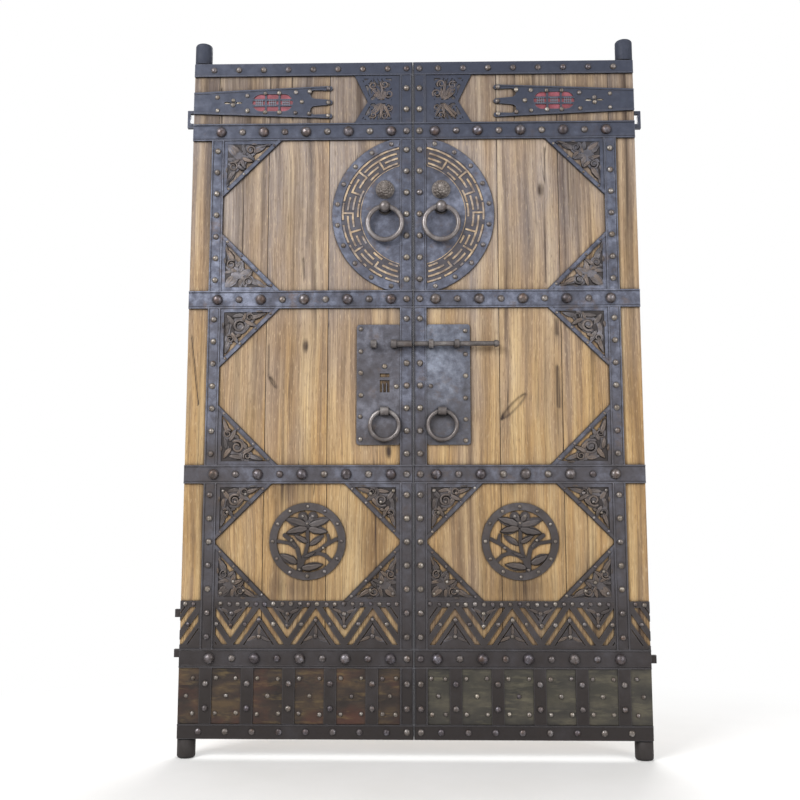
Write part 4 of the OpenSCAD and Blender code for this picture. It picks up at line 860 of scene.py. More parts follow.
for number, (side, board) in enumerate((s, b) for s in SIDES for b in BOARDS):
    wood = make_board(side, board, number + 1)
    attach(wood, f"{side}_leaf")
    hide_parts(f"{side}_{board}")
    print(wood.name, len(wood.data.vertices), "points")

# %% [markdown]
# The four pivot cups are plain turned iron with one rounded end. A profile with the bore in it, turned in
# small steps, is all they need.

# %% Pivot cups
def cup_profile(outer, mouth_to_floor, length):
    bore, soft, steps = 0.01505, 0.008, 8
    profile = [(bore, 0.0), (outer - 0.0008, 0.0), (outer, 0.0008), (outer, length - soft)]
    for i in range(1, steps + 1):
        angle = 0.5 * math.pi * i / steps
        profile.append((outer - soft + soft * math.cos(angle), length - soft + soft * math.sin(angle)))
    return profile + [(0.00001, length), (0.00001, mouth_to_floor), (bore, mouth_to_floor), (bore, 0.0)]


cups_low, cups_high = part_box("pivot_cups")
CUP_R = (cups_high.y - cups_low.y) / 2
PIVOT_X = cups_high.x - CUP_R
PIN_DEPTH = 0.048
LEAF_H = 2.2
CUP_PLAY = 0.0033
foot_length = FOOT_Z - CUP_PLAY - cups_low.z
head_mouth = FOOT_Z + LEAF_H + CUP_PLAY
head_length = cups_high.z - head_mouth
cup_parts = []
for sign in SIDES.values():
    foot_place = (sign * PIVOT_X, 0.0, FOOT_Z - CUP_PLAY)
    cup_parts.append(turned(cup_profile(CUP_R, PIN_DEPTH, foot_length), 56, foot_place, "Z", -1.0))
    head_place = (sign * PIVOT_X, 0.0, head_mouth)
    cup_parts.append(turned(cup_profile(CUP_R, PIN_DEPTH, head_length), 56, head_place))
cups = piece("pivot_cup_shells", *merge_parts(cup_parts), cup_iron)
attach(cups, "cups")
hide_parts("pivot_cups")
print("cups", round(foot_length * 1000), "and", round(head_length * 1000), "mm long")

# %% [markdown]
# Each half roundel is a plate with a raised rim and a key fret of long arms between four circles. All of it
# is made of one form: a bar that follows an angle between two radii, with eased top edges. Angles are
# counted from the level line towards the hinge. The straps cut the disc off, so the radii have limits.

# %% Polar bars
STRIP_EDGE = 0.6926
STRAIGHT = OUTER_X - STRIP_EDGE
ROUND_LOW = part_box("left_roundel")[0].z - FOOT_Z - ROUND_UP
ROUND_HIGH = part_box("left_roundel")[1].z - FOOT_Z - ROUND_UP


def inside(angle, radius):
    """The radius, held between the upright strap and the cross straps."""
    limit = ROUND_HIGH if angle > 0 else -ROUND_LOW
    radius = min(radius, limit / max(abs(math.sin(angle)), 1e-6))
    return max(radius, STRAIGHT / math.cos(angle))


def polar_bar(side, start, end, inner, outer, low, high, ease=0.0007):
    steps = max(2, int(abs(end - start) / math.radians(2.0)))
    points = []
    for j in range(steps + 1):
        angle = start + (end - start) * j / steps
        near, far = inside(angle, inner), inside(angle, outer)
        soft = min(ease, 0.4 * max(far - near, 1e-5))
        section = ((near, low), (near, high - ease), (near + soft, high),
                   (far - soft, high), (far, high - ease), (far, low))
        for radius, off in section:
            across = OUTER_X - radius * math.cos(angle)
            points.append(spot(side, across, ROUND_UP + radius * math.sin(angle), off))
    return points, tube_faces(steps + 1, len(section))


print("roundel reaches", round(1000 * ROUND_HIGH), "mm up and", round(-1000 * ROUND_LOW), "mm down")

# %% [markdown]
# The fret's arms lie on four circles, named by their number from the outside. Each arm is a pair of angles,
# and each link joins two circles at one angle. The lines are as high as the beads of the straps.

# %% Half roundels
ROUND_R = 0.267
RIM_IN = 0.237
FRET_R = (0.232, 0.2153, 0.1987, 0.182)
FRET_LINE = 0.0066
BASE_OFF = 0.003
FRET_OFF = 0.0054
SUNK = BASE_OFF - 0.0005
RING_LINE = (0.171, 0.1745)
RING_OFF = 0.0042
ROUND_ENDS = math.radians(-80.4), math.radians(80.4)
ARMS = (
    ((-4.5, 10), (11.5, 26), (27, 78.5), (-24, -8.8), (-43.2, -26.3), (-48.5, -45.5), (-63.8, -52),
     (-78.5, -67)),
    ((4, 16), (21, 34), (41.6, 75.5), (-29.5, -1), (-52, -37.6), (-77, -54.5)),
    ((4.4, 18.5), (27, 39.4), (41.5, 55), (62, 75.5), (-12, 1.5), (-31, -20.9), (-49.6, -36.5),
     (-75.5, -59.5)),
    ((-2.5, 12), (13.2, 26.6), (40, 51.4), (59, 74), (-32.4, -23.4), (-56.2, -44.7), (-74, -64)),
)
LINKS = ((0, 2, 1.5), (0, 2, 39.4), (0, 2, -33), (1, 3, 21.1), (1, 3, -16.3), (1, 3, 58.2), (1, 2, -54.5))
for side in SIDES:
    parts = [
        polar_bar(side, *ROUND_ENDS, 0.0, ROUND_R, 0.0, BASE_OFF),
        polar_bar(side, *ROUND_ENDS, RIM_IN, ROUND_R, SUNK, STRAP, 0.0010),
        polar_bar(side, *ROUND_ENDS, *RING_LINE, SUNK, RING_OFF),
    ]
    for radius, arms in zip(FRET_R, ARMS):
        near, far = radius - FRET_LINE / 2, radius + FRET_LINE / 2
        for start, end in arms:
            angles = math.radians(start), math.radians(end)
            parts.append(polar_bar(side, *angles, near, far, SUNK, FRET_OFF))
    for first, last, turn in LINKS:
        half = 0.5 * FRET_LINE / FRET_R[first]
        angles = math.radians(turn) - half, math.radians(turn) + half
        inner, outer = FRET_R[last] - FRET_LINE / 2, FRET_R[first] + FRET_LINE / 2
        parts.append(polar_bar(side, *angles, inner, outer, SUNK, FRET_OFF - 0.0002))
    disc = piece(f"{side}_fret_roundel", *merge_parts(parts), roundel_iron, False)
    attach(disc, f"{side}_leaf")
    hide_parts(f"{side}_roundel")
    print(disc.name, len(parts), "bars", len(disc.data.polygons), "faces")

# %% [markdown]
# The boss over each ring pull is a ball of overlapping leaves. It is a dome whose surface swells and dips
# by a rule: five tiers of small leaves, each tier turned by half a leaf, with a rib down every leaf.

# %% Foliate bosses
BOSS_R = 0.0285
BOSS_RISE = 0.0353
BOSS_BASE = 0.003
TIERS = 5
LEAVES_A_TIER = 11
DISC_PROFILE = ((0.00002, 0.0), (0.031, 0.0), (0.031, 0.0022), (0.0302, 0.003), (0.00002, 0.003))


def leafy(angle, climb):
    tier = min(int(climb * TIERS), TIERS - 1)
    within = climb * TIERS - tier
    turn = 0.5 * (tier % 2)
    leaf = abs(math.cos(math.pi * (angle * LEAVES_A_TIER / (2 * math.pi) + turn)))
    tip = math.sin(math.pi * min(1.0, within * 1.08)) ** 0.6
    if tier == TIERS - 1:
        return 0.0012 + 0.0012 * math.cos(0.5 * math.pi * (1.0 - within))
    rib = math.exp(-((1.0 - leaf) / 0.05) ** 2)
    return 0.0030 * leaf ** 0.8 * tip + 0.0006 * rib * tip


def boss_mesh(centre):
    around, rise = 128, 40
    points = []
    for j in range(rise + 1):
        climb = j / rise
        tilt = 0.5 * math.pi * climb
        for i in range(around):
            angle = 2 * math.pi * i / around
            swell = leafy(angle, climb) - 0.0020
            radius = max((BOSS_R + swell) * math.cos(tilt), 0.00002)
            out = (BOSS_RISE + swell) * math.sin(tilt)
            points.append(centre + Vector((radius * math.cos(angle), -out, radius * math.sin(angle))))
    return points, tube_faces(rise + 1, around)


for side in SIDES:
    low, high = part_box(f"{side}_boss")
    middle = Vector(((low.x + high.x) / 2, high.y, (low.z + high.z) / 2))
    disc = turned(DISC_PROFILE, 64, middle, "Y", -1.0)
    ball = boss_mesh(middle + Vector((0.0, -BOSS_BASE + 0.0005, 0.0)))
    boss = piece(f"{side}_leafy_boss", *merge_parts([disc, ball]), brown_patina)
    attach(boss, f"{side}_leaf")
    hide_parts(f"{side}_boss")
    print(boss.name, len(boss.data.polygons), "faces")

# %% [markdown]
# There are hundreds of studs and nails, all the same domed head in many sizes. That is work for Geometry
# Nodes: one head is placed on every point of a cloud, scaled by the point's own size and turned by a fixed
# random amount. The cloud for the studs is read from the solids, so no stud leaves its place.

# %% The head and its node tree
def dome_head(name, facing):
    steps, rings = 14, 5
    profile = [(0.5, 0.0), (0.5, 0.10)]
    for j in range(1, rings + 1):
        angle = 0.5 * math.pi * j / rings
        profile.append((max(0.5 * math.cos(angle), 0.0001), 0.10 + 0.90 * math.sin(angle)))
    points, faces = turned(profile, steps, (0.0, 0.0, 0.0), "Y", -facing)
    rng = np.random.default_rng(5)
    points = [p * (1.0 + 0.02 * rng.normal()) if 0.05 < p.length else p for p in points]
    return piece(name, points, faces, None)


def shapes_tree():
    tree = bpy.data.node_groups.new("shapes_on_points", "GeometryNodeTree")
    sockets = {}
    for label, kind in (("Points", "Geometry"), ("Shape", "Object"), ("Finish", "Material"),
                        ("Lean", "Float"), ("Seed", "Int")):
        socket = tree.interface.new_socket(label, in_out="INPUT", socket_type="NodeSocket" + kind)
        sockets[label] = socket.identifier
    tree.interface.new_socket("Shapes", in_out="OUTPUT", socket_type="NodeSocketGeometry")
    given = add(tree, "NodeGroupInput").outputs
    shape = add(tree, "GeometryNodeObjectInfo", {"Object": given["Shape"]})
    size = add(tree, "GeometryNodeInputNamedAttribute", {"Name": "size"}, data_type="FLOAT_VECTOR")
    spin = add(tree, "GeometryNodeInputNamedAttribute", {"Name": "spin"}, data_type="FLOAT")
    back = calc(tree, "MULTIPLY", given["Lean"], -1.0)
    least = add(tree, "ShaderNodeCombineXYZ", {0: back, 1: spin.outputs[0], 2: back})
    most = add(tree, "ShaderNodeCombineXYZ", {0: given["Lean"], 1: spin.outputs[0], 2: given["Lean"]})
    limits = {0: least.outputs[0], 1: most.outputs[0], "Seed": given["Seed"]}
    turn = add(tree, "FunctionNodeRandomValue", limits, data_type="FLOAT_VECTOR")
    placed = add(tree, "GeometryNodeInstanceOnPoints", {
        "Points": given["Points"], "Instance": shape.outputs["Geometry"],
        "Rotation": turn.outputs[0], "Scale": size.outputs[0],
    })
    real = add(tree, "GeometryNodeRealizeInstances", {"Geometry": placed.outputs[0]})
    coating = {"Geometry": real.outputs[0], "Material": given["Finish"]}
    coated = add(tree, "GeometryNodeSetMaterial", coating)
    tree.links.new(coated.outputs[0], add(tree, "NodeGroupOutput").inputs[0])
    return tree, sockets


SHAPES, SHAPE_SOCKETS = shapes_tree()
front_head = dome_head("front_head", 1.0)
back_head = dome_head("back_head", -1.0)
print("node tree with inputs", list(SHAPE_SOCKETS))

# %% [markdown]
# A cloud of points becomes a plain mesh in one step: the modifier's inputs are set by their identifiers,
# the object is evaluated, and the result is copied into a mesh that no longer needs the modifier.

# %% Scatter helper
def scatter(name, rows, shape, material, lean, seed):
    """rows: (place, (width, rise, length), spin, tint)"""
    cloud = bpy.data.meshes.new(name + "_points")
    cloud.from_pydata([tuple(r[0]) for r in rows], [], [])
    holder = bpy.data.objects.new(name + "_points", cloud)
    scene.collection.objects.link(holder)
    store(holder, "size", np.array([r[1] for r in rows]))
    store(holder, "spin", np.array([r[2] for r in rows]))
    store(holder, "tint", np.array([r[3] for r in rows]))
    modifier = holder.modifiers.new("shapes", "NODES")
    modifier.node_group = SHAPES
    for label, value in (("Shape", shape), ("Finish", material), ("Lean", lean), ("Seed", seed)):
        modifier[SHAPE_SOCKETS[label]] = value
    graph = bpy.context.evaluated_depsgraph_get()
    mesh = bpy.data.meshes.new_from_object(holder.evaluated_get(graph))
    mesh.name = name
    holder.modifiers.clear()
    bpy.data.objects.remove(holder)
    mesh.polygons.foreach_set("use_smooth", [True] * len(mesh.polygons))
    thing = bpy.data.objects.new(name, mesh)
    scene.collection.objects.link(thing)
    print(name, len(rows), "copies", len(mesh.polygons), "faces")
    return thing


print("scatter fills", SHAPES.name)

# %% [markdown]
# One solid holds all the studs of a leaf. To find the place and the size of each, a copy of it is merged,
# taken apart into lumps that hang together by their edges, and the box of every lump is kept.

# %% Lumps of a solid
def islands(node):
    """The boxes of the separate lumps of a solid."""
    shell = bmesh.new()
    shell.from_mesh(nodes[node].data)
    bmesh.ops.remove_doubles(shell, verts=shell.verts, dist=1e-6)
    left, boxes = set(shell.verts), []
    while left:
        front, lump = [left.pop()], []
        while front:
            vert = front.pop()
            lump.append(vert.co.copy())
            for link in vert.link_edges:
                other = link.other_vert(vert)
                if other in left:
                    left.remove(other)
                    front.append(other)
        spread = np.array(lump)
        boxes.append((Vector(spread.min(0)), Vector(spread.max(0))))
    shell.free()
    boxes.sort(key=lambda b: (round(b[0].z, 4), round(b[0].x, 4)))
    return boxes


STRAP_FEET = [low.z for low, high in islands("left_cross_straps")]
print(len(STRAP_FEET), "cross straps a leaf")

# %% [markdown]
# The studs on the upright straps are rubbed palest, those on the cross straps less, and the big ones stay
# dark. The nails' points are clenched over the battens on the back, so a flat head stands there too.

# %% Studs
BIG_STUD = 0.030
SMALL_STUD = 0.0205
HINGE_LINE = 0.085
PALE_LINES = (HINGE_LINE, 0.714)
DARK_BELOW = 0.48
DARK_ABOVE = FOOT_Z + 2.13
CLENCH_SIZE = (0.017, 0.004, 0.017)
FULL_TURN = 6.2
for seed, side in enumerate(SIDES):
    rng = np.random.default_rng(20 + seed)
    rows, clenched = [], []
    batten_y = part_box(f"{side}_battens")[1].y
    for low, high in islands(f"{side}_studs"):
        middle = (low + high) / 2
        across = OUTER_X - abs(middle.x)
        wide = high.x - low.x
        on_upright = min(abs(across - line) for line in PALE_LINES) < 0.004 and wide < SMALL_STUD
        tint = 0.05 if wide > BIG_STUD else 0.50 if on_upright else 0.28
        tint *= 1.0 if DARK_BELOW < middle.z < DARK_ABOVE else 0.5
        tint = float(np.clip(tint + rng.normal(0.0, 0.12), 0.0, 1.0))
        size = (wide, high.y - low.y, wide)
        rows.append((Vector((middle.x, high.y, middle.z)), size, rng.uniform(0.0, FULL_TURN), tint))
        if wide > BIG_STUD:
            place = Vector((middle.x, batten_y, middle.z + rng.normal(0.0, 0.004)))
            clenched.append((place, CLENCH_SIZE, rng.uniform(0.0, FULL_TURN), 0.15))
    studs = scatter(f"{side}_stud_heads", rows, front_head, head_metal, 0.02, 3 + seed)
    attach(studs, f"{side}_leaf")
    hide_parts(f"{side}_studs")
    rivets = scatter(f"{side}_clenched_points", clenched, back_head, head_metal, 0.05, 7 + seed)
    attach(rivets, f"{side}_leaf")

# %% [markdown]
# The small nails are too many to be solids. Those along the fishtail strap and in a column on each lock plate
# stand where the smith found room, so their places are written down one by one.

# %% Nail places
TAIL_NAILS = [
    (0.080, 2.083), (0.180, 2.087), (0.240, 2.094), (0.288, 2.095), (0.342, 2.097), (0.390, 2.100),
    (0.452, 2.109), (0.452, 2.062), (0.452, 2.015), (0.362, 2.062), (0.080, 2.036), (0.180, 2.034),
    (0.240, 2.030), (0.288, 2.029), (0.342, 2.027), (0.390, 2.022), (0.132, 2.070), (0.132, 2.054),
]
LOCK_NAILS = {
    "left": [(0.565, up) for up in (1.288, 1.215, 1.143, 1.072, 1.003, 0.930)],
    "right": [(0.568, up) for up in (1.283, 1.205, 1.135, 1.062, 0.992, 0.925)],
}
LOCK_NAILS["left"] += [(0.644, 1.166), (0.680, 1.100)]
LOCK_NAILS["right"] += [(0.680, 1.100)]
MEDAL = (0.399, 0.606, 0.1095)
FLOWER = 0.098
FRIEZE_NAIL_UP = 0.411
ZIG_PITCH = 0.2429 * LEAF_W
FIRST_PEAK = 0.071
KICK_PITCH = 0.1769 * LEAF_W
KICK_ROWS = (0.184, 0.130, 0.076)


print(len(TAIL_NAILS), "nails on a fishtail strap")

# %% [markdown]
# The other nails follow a rule. A bracket is known by the corner it sits in, which is found from its box, and
# its nails are shares of its leg. The medallion has a ring of nails, and the frieze and the kick sheet repeat
# at their own pitch.

# %% Nails that follow a rule
def corners(node):
    """Leg, corner across, corner up and the two ways off it, for every bracket in a solid."""
    found = []
    for low, high in islands(node):
        leg = high.z - low.z
        near, far = sorted((OUTER_X - abs(low.x), OUTER_X - abs(high.x)))
        at_hinge = near < 0.2
        at_top = any(abs(high.z - foot) < 0.003 for foot in STRAP_FEET)
        across = near if at_hinge else far
        up = (high.z if at_top else low.z) - FOOT_Z
        found.append((leg, across, up, 1 if at_hinge else -1, -1 if at_top else 1))
    return found


def bracket_nails(node):
    """Nails along the slanting bar of every bracket in a solid."""
    spots = []
    for leg, across, up, way_across, way_up in corners(node):
        for share in (0.12, 0.37, 0.63, 0.88):
            run = share * leg - 0.005
            spots.append((across + way_across * run, up + way_up * (leg - run - 0.010)))
    return spots


def scroll_nails(node):
    """Nails in the scroll work of the lower brackets."""
    spots = []
    for leg, across, up, way_across, way_up in corners(node):
        for a, b in ((0.12, 0.13), (0.34, 0.33), (0.20, 0.52), (0.52, 0.18)):
            spots.append((across + way_across * a * leg, up + way_up * b * leg))
    return spots


def medal_nails():
    across, up, radius = MEDAL
    turns = [math.radians(30 * i) for i in range(12)]
    return [(across + radius * math.cos(t), up + radius * math.sin(t)) for t in turns]


def flower_nails():
    places = ((0.0, 0.58), (-0.16, 0.80), (0.17, 0.80), (-0.52, 0.03), (-0.24, -0.90), (0.50, -0.20))
    return [(MEDAL[0] + FLOWER * a, MEDAL[1] + FLOWER * b) for a, b in places]


def frieze_nails():
    row = [(0.016 + 0.0278 * i, FRIEZE_NAIL_UP) for i in range(25)]
    for i in range(4):
        peak = FIRST_PEAK + i * ZIG_PITCH
        valley = peak + 0.5 * ZIG_PITCH
        row += [(peak, 0.362), (peak, 0.312), (valley, 0.344), (valley, 0.382)]
        row += [(peak - 0.25 * ZIG_PITCH, 0.349), (peak + 0.25 * ZIG_PITCH, 0.349)]
    return [p for p in row if 0.008 < p[0] < 0.684 and abs(p[0] - HINGE_LINE) > 0.026]


def kick_nails():
    top, middle_row, bottom = KICK_ROWS
    spots = []
    for i in range(4):
        middle = HINGE_LINE + (i + 0.5) * KICK_PITCH
        spots += [(middle - 0.032, top), (middle + 0.032, top), (middle, middle_row)]
        spots += [(middle - 0.032, bottom), (middle + 0.032, bottom)]
    spots += [(0.046, top), (0.026, middle_row), (0.046, bottom)]
    return spots + [(0.638, top), (0.680, top), (0.659, middle_row), (0.638, bottom), (0.680, bottom)]


print(len(frieze_nails()), "frieze nails and", len(kick_nails()), "kick nails a leaf")

# %% [markdown]
# Every group of nails has its own height over the boards, head size, rise and rub. A smith's nails are never
# quite in line, so each one is shifted, sized and tinted a little by a fixed random draw.

# %% Nails
for seed, side in enumerate(SIDES):
    rng = np.random.default_rng(40 + seed)
    groups = [
        (TAIL_NAILS, STRAP, 0.0145, 0.0058, 0.45),
        (LOCK_NAILS[side], PLATE, 0.0150, 0.0058, 0.55),
        (bracket_nails(f"{side}_upper_brackets"), PLATE + BEAD, 0.009, 0.0034, 0.30),
        (bracket_nails(f"{side}_lower_brackets"), PLATE + BEAD, 0.009, 0.0034, 0.25),
        (medal_nails(), PLATE, 0.0115, 0.0048, 0.45),
        (flower_nails(), PLATE + BEAD, 0.0090, 0.0040, 0.50),
        (scroll_nails(f"{side}_lower_brackets"), PLATE + BEAD, 0.0105, 0.0044, 0.45),
        (frieze_nails(), PLATE, 0.0140, 0.0060, 0.30),
        (kick_nails(), SHEET, 0.0140, 0.0060, 0.45),
    ]
    rows = []
    for places, off, diameter, rise, tint in groups:
        for across, up in places:
            shift = rng.normal(0.0, 0.0008, 2)
            size = diameter * float(rng.uniform(0.92, 1.10))
            shade = float(np.clip(tint + rng.normal(0.0, 0.15), 0.0, 1.0))
            place = spot(side, across + shift[0], up + shift[1], off - 0.0002)
            rows.append((place, (size, rise, size), rng.uniform(0.0, FULL_TURN), shade))
    nails = scatter(f"{side}_nail_heads", rows, front_head, head_metal, 0.08, 11 + seed)
    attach(nails, f"{side}_leaf")

# %% [markdown]
# Brackets, scroll plates and flowers are chased: every leaf is a low dome with a groove down its middle and
# veins to its edge, and the tendrils end in curls. One leaf and two curls, which turn opposite ways, are
# enough. Their floors are flat and start at the sheet behind the scroll work.

# %% Leaf and curl shapes
def leaf_shape(name):
    long, wide = 8, 6
    points, faces = [], []
    for j in range(long + 1):
        t = j / long
        half = 0.5 * math.sin(math.pi * t ** 0.75) ** 0.85 * (1.0 + 0.12 * math.cos(6.0 * math.pi * t))
        for i in range(wide + 1):
            s = 2.0 * i / wide - 1.0
            dome = max(1.0 - s * s, 0.0) ** 0.6 * math.sin(math.pi * t ** 0.8) ** 0.6
            groove = 1.0 - 0.50 * math.exp(-(s / 0.2) ** 2)
            vein = 1.0 + 0.14 * math.cos(2.0 * math.pi * (3.5 * t - 0.8 * abs(s)))
            points.append((s * half + 0.10 * math.sin(math.pi * t), -dome * groove * vein, t))
    for j in range(long):
        for i in range(wide):
            a = j * (wide + 1) + i
            faces.append((a, a + 1, a + wide + 2, a + wide + 1))
    rim = [j * (wide + 1) for j in range(long + 1)]
    faces.append(tuple(rim + [a + wide for a in reversed(rim[1:-1])]))
    return piece(name, points, faces, None)


def curl_shape(name, way):
    steps, turns = 18, 1.3
    points = []
    for j in range(steps + 1):
        share = j / steps
        angle = 2.0 * math.pi * turns * share
        radius, half = 0.40 - 0.27 * share, 0.13 - 0.04 * share
        tall = 0.75 + 0.25 * share
        for step, rise in ((-1.0, 0.0), (-0.4, 0.9), (0.4, 1.0), (1.0, 0.0)):
            r = radius + step * half
            points.append((way * r * math.cos(angle), -rise * tall, r * math.sin(angle)))
    return piece(name, points, tube_faces(steps + 1, 4), None)


leaf_form = leaf_shape("leaf_form")
curl_forms = {1: curl_shape("curl_form", 1.0), -1: curl_shape("back_curl_form", -1.0)}
print("leaf", len(leaf_form.data.polygons), "faces, curl", len(curl_forms[1].data.polygons))

# %% [markdown]
# The leaves of a bracket are written once as shares of its leg, from the stem to the tip, and every bracket
# turns them into its own corner. A leafy bracket has a rosette with leaves on both sides, a wavy one has a
# long tendril. The flower in the medallion is written as shares of its inner radius, and the fan on each
# half of the scroll plate as distances from the corner where its strip meets the notch line.

# %% Leaf places
BACK_SHEET = 0.0016
HALF_LEAFY = (
    (0.50, 0.21, 0.75, 0.06, 0.10), (0.27, 0.21, 0.08, 0.065, 0.11), (0.345, 0.225, 0.31, 0.045, 0.08),
    (0.30, 0.30, 0.51, 0.37, 0.09), (0.41, 0.22, 0.53, 0.36, 0.08), (0.39, 0.15, 0.33, 0.28, 0.07),
    (0.60, 0.12, 0.80, 0.05, 0.05), (0.46, 0.06, 0.60, 0.05, 0.05),
)
LEAFY = HALF_LEAFY + tuple((b, a, d, c, w) for a, b, c, d, w in HALF_LEAFY)
WAVY = (
    (0.50, 0.17, 0.76, 0.08, 0.09), (0.17, 0.50, 0.085, 0.77, 0.09), (0.50, 0.25, 0.37, 0.41, 0.09),
    (0.235, 0.29, 0.10, 0.10, 0.10), (0.42, 0.11, 0.18, 0.15, 0.09), (0.145, 0.25, 0.11, 0.47, 0.08),
    (0.40, 0.19, 0.62, 0.31, 0.09), (0.19, 0.39, 0.31, 0.61, 0.09), (0.375, 0.22, 0.43, 0.06, 0.07),
    (0.36, 0.44, 0.24, 0.50, 0.07), (0.06, 0.22, 0.05, 0.36, 0.05), (0.58, 0.05, 0.76, 0.04, 0.04),
)
CURLS = {
    "leafy": ((0.46, 0.165, 0.20, 1, 1), (0.165, 0.46, 0.20, -1, 1)),
    "wavy": ((0.33, 0.30, 0.27, 1, -1), (0.50, 0.15, 0.17, 1, 1), (0.17, 0.52, 0.17, -1, 1)),
}
PETALS = (
    (0.02, 0.50, -0.74, 0.72, 0.25), (0.02, 0.50, 0.74, 0.74, 0.25), (0.04, 0.42, -0.70, 0.26, 0.24),
    (0.00, 0.42, 0.66, 0.30, 0.24), (0.02, -0.06, -0.44, 0.20, 0.17), (0.04, -0.14, 0.54, 0.20, 0.18),
    (-0.22, -0.86, 0.52, -0.74, 0.23), (-0.30, -0.72, -0.90, -0.42, 0.25), (-0.02, 0.62, -0.22, 0.92, 0.20),
    (0.03, 0.62, 0.23, 0.92, 0.20), (-0.14, -0.52, 0.30, -0.34, 0.10), (-0.34, -0.22, -0.56, 0.05, 0.10),
)
TAIL_UP = 2.062
SCROLL_CORNER = (STRIP_EDGE, TAIL_UP)
SCROLL_HALVES = ((0.0926, 1), (0.0735, -1))
FAN_FOOT = (0.056, 0.004)
FAN_TIPS = (
    (0.112, 0.70), (0.102, 0.86), (0.080, 0.56), (0.066, 0.84), (0.050, 0.56), (0.030, 0.80), (0.100, 0.36),
)
FAN_LEAF_W = 0.0130
FAN_CURLS = ((0.037, 0.30, 0.40, 1), (0.090, 0.62, 0.36, -1), (0.052, 0.66, 0.38, 1))


def laid(side, start, end, width, off, rise, tint):
    """One leaf as a row for scatter, from the place of its stem to the place of its tip."""
    foot, tip = spot(side, *start, off), spot(side, *end, off)
    way = tip - foot
    return foot, (width, rise, way.length), math.atan2(way.x, way.z), tint


def curled(side, middle, diameter, way, off, rise, tint):
    foot = spot(side, *middle, off)
    tail = spot(side, middle[0] + way[0], middle[1] + way[1], off) - foot
    return foot, (diameter, rise, diameter), math.atan2(-tail.z, tail.x), tint


print(len(LEAFY), "leaves in a leafy bracket,", len(WAVY), "in a wavy one")

# %% [markdown]
# Each leaf gets a slightly different height and rub, drawn from a fixed seed, so that the chasing looks
# made by hand. Four kinds of work need rows of leaves: brackets, scroll plates, the flower and the frieze.

# %% Rows of foliage
LEAF_RISE = (0.0038, 0.0056)
CURL_RISE = 0.0048
FAN_RISE = (0.0036, 0.0050)
FAN_CURL_RISE = 0.0042
PETAL_RISE = (0.0034, 0.0044)
PETAL_OFF = 0.0026
FRIEZE_ENDS = ((0.306, -1), (0.388, 1))


def bracket_foliage(side, node, wavy_rule, rng):
    leaves, curls = [], {1: [], -1: []}
    for leg, across, up, way_across, way_up in corners(node):
        wavy = wavy_rule(up, way_up)
        for a, b, c, d, width in WAVY if wavy else LEAFY:
            start = across + way_across * a * leg, up + way_up * b * leg
            end = across + way_across * c * leg, up + way_up * d * leg
            rise, tint = rng.uniform(*LEAF_RISE), rng.uniform(0.0, 0.45)
            leaves.append(laid(side, start, end, width * leg, BACK_SHEET, rise, tint))
        for a, b, size, way, lean in CURLS["wavy" if wavy else "leafy"]:
            middle = across + way_across * a * leg, up + way_up * b * leg
            tail = (way_across, lean * way_up)
            turn = way * way_across * way_up * SIDES[side]
            tint = rng.uniform(0.0, 0.3)
            curls[turn].append(curled(side, middle, size * leg, tail, BACK_SHEET, CURL_RISE, tint))
    return leaves, curls


def plate_foliage(side, rng):
    leaves, curls = [], {1: [], -1: []}
    across, up = SCROLL_CORNER
    start_across, start_up = FAN_FOOT
    for high, way_up in SCROLL_HALVES:
        for a, share in FAN_TIPS:
            start = across - start_across, up + way_up * start_up
            end = across - a, up + way_up * share * high
            rise, tint = rng.uniform(*FAN_RISE), rng.uniform(0.2, 0.5)
            leaves.append(laid(side, start, end, FAN_LEAF_W, BACK_SHEET, rise, tint))
        for a, share, size, way in FAN_CURLS:
            middle = across - a, up + way_up * share * high
            turn = -way * way_up * SIDES[side]
            tail, tint = (-1, way_up), rng.uniform(0.2, 0.45)
            curls[turn].append(curled(side, middle, size * high, tail, BACK_SHEET, FAN_CURL_RISE, tint))
    return leaves, curls


def low_foliage(side, rng):
    rows = []
    for a, b, c, d, width in PETALS:
        start = MEDAL[0] + FLOWER * a, MEDAL[1] + FLOWER * b
        end = MEDAL[0] + FLOWER * c, MEDAL[1] + FLOWER * d
        rise, tint = rng.uniform(*PETAL_RISE), rng.uniform(0.0, 0.1)
        rows.append(laid(side, start, end, width * FLOWER, PETAL_OFF, rise, tint))
    for i in range(8):
        middle = FIRST_PEAK + 0.5 * i * ZIG_PITCH
        foot, way = FRIEZE_ENDS[i % 2]
        if abs(middle - HINGE_LINE) < 0.06 or middle > 0.66:
            continue
        for shift, climb in ((-0.040, 0.010), (0.040, 0.010), (0.0, -0.044)):
            start = middle + 0.12 * shift, foot - 0.006 * way
            end = middle + shift, foot + way * climb
            rows.append(laid(side, start, end, 0.012, PLATE - 0.0002, 0.0020, rng.uniform(0.0, 0.3)))
    return rows


print(len(FAN_TIPS), "leaves in a fan,", len(PETALS), "in the flower")

# %% [markdown]
# The rows are now copied. Of the upper brackets those in the middle panel are wavy, and of the lower ones
# those in the top corners. The pieces ride on the leaf of the gate that carries the work.

# %% Chased foliage
MIDDLE_PANEL_TOP = 1.39


def in_middle_panel(up, way_up):
    return up < MIDDLE_PANEL_TOP


def in_top_corner(up, way_up):
    return way_up < 0


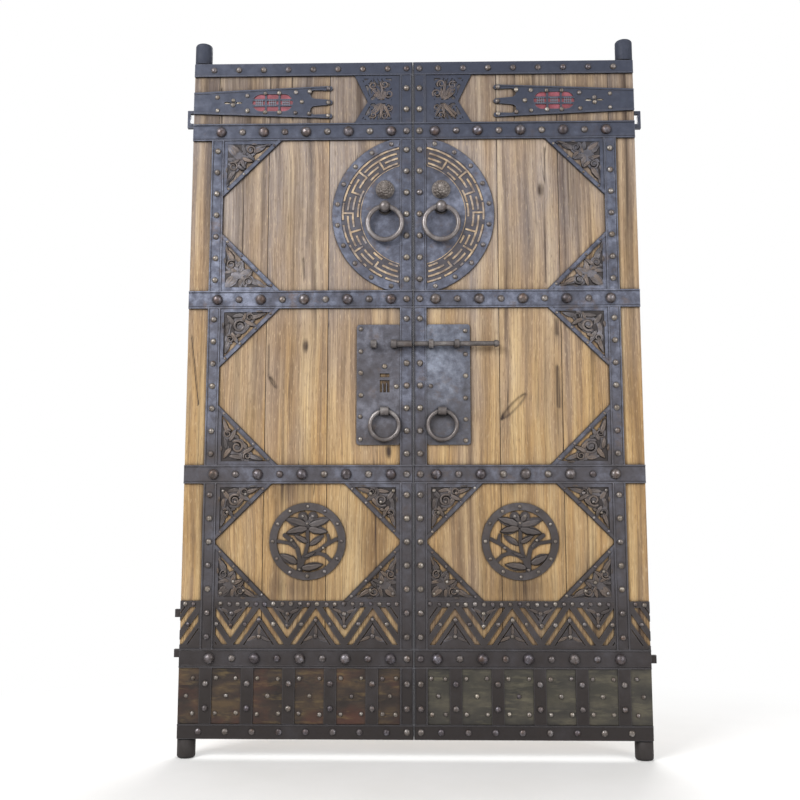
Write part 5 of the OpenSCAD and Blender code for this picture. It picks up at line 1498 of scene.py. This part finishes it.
for seed, side in enumerate(SIDES):
    rng = np.random.default_rng(60 + seed)
    high_leaves, high_curls = bracket_foliage(side, f"{side}_upper_brackets", in_middle_panel, rng)
    plate_leaves, plate_curls = plate_foliage(side, rng)
    low_leaves, low_curls = bracket_foliage(side, f"{side}_lower_brackets", in_top_corner, rng)
    made = [
        ("upper_leaves", high_leaves + plate_leaves, leaf_form, "iron"),
        ("upper_curls", high_curls[1] + plate_curls[1], curl_forms[1], "iron"),
        ("upper_back_curls", high_curls[-1] + plate_curls[-1], curl_forms[-1], "iron"),
        ("lower_leaves", low_leaves + low_foliage(side, rng), leaf_form, "dark_iron"),
        ("lower_curls", low_curls[1], curl_forms[1], "dark_iron"),
        ("lower_back_curls", low_curls[-1], curl_forms[-1], "dark_iron"),
    ]
    for name, rows, shape, slot in made:
        chased = scatter(f"{side}_{name}", rows, shape, chased_iron, 0.05, 31 + seed)
        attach(chased, f"{side}_leaf")

# %% [markdown]
# The fishtail strap is pierced twice. A pale drop sits in each of its two small slots, and a fine grate
# lies over the paint in the middle row of the oval opening.

# %% Fishtail details
SLOTS = ((0.101, 0.125), (0.163, 0.139))
DROP_W = 0.0080
DROP_RISE = 0.0044
GRATE_STEPS = (-0.0105, -0.0035, 0.0035, 0.0105)
GRATE_HALF = 0.0014
GRATE_REACH = 0.012
CROSS_OFF = 0.0042


def block(side, across, up, off):
    """A box between two distances each way."""
    points = [spot(side, a, u, o) for a in across for u in up for o in off]
    return points, [(0, 1, 3, 2), (4, 6, 7, 5), (0, 4, 5, 1), (2, 3, 7, 6), (0, 2, 6, 4), (1, 5, 7, 3)]


for seed, side in enumerate(SIDES):
    rows = []
    for start, end in SLOTS:
        rows.append(laid(side, (start, TAIL_UP), (end, TAIL_UP), DROP_W, 0.0002, DROP_RISE, 1.0))
    drops = scatter(f"{side}_pale_drops", rows, leaf_form, head_metal, 0.0, 51 + seed)
    low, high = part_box(f"{side}_inlay")
    middle = OUTER_X - abs(low.x + high.x) / 2
    third, tall = (high.x - low.x) / 3, (high.z - low.z) / 6
    parts = []
    line = TAIL_UP - GRATE_HALF, TAIL_UP + GRATE_HALF
    for cell in (-1, 0, 1):
        centre = middle + cell * third
        for step in GRATE_STEPS:
            across = centre + step - GRATE_HALF, centre + step + GRATE_HALF
            parts.append(block(side, across, (TAIL_UP - tall, TAIL_UP + tall), (SHEET, PLATE)))
        across = centre - GRATE_REACH, centre + GRATE_REACH
        parts.append(block(side, across, line, (SHEET, CROSS_OFF)))
    grate = piece(f"{side}_oval_grate", *merge_parts(parts), blued_iron, False)
    for thing, slot in ((drops, "worn_iron"), (grate, "iron")):
        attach(thing, f"{side}_leaf")
    print(grate.name, len(parts), "bars")

# %% [markdown]
# The shapes that the node tree copied are no longer needed.

# %% Spare shapes
for spare in (front_head, back_head, leaf_form, *curl_forms.values()):
    bpy.data.objects.remove(spare)
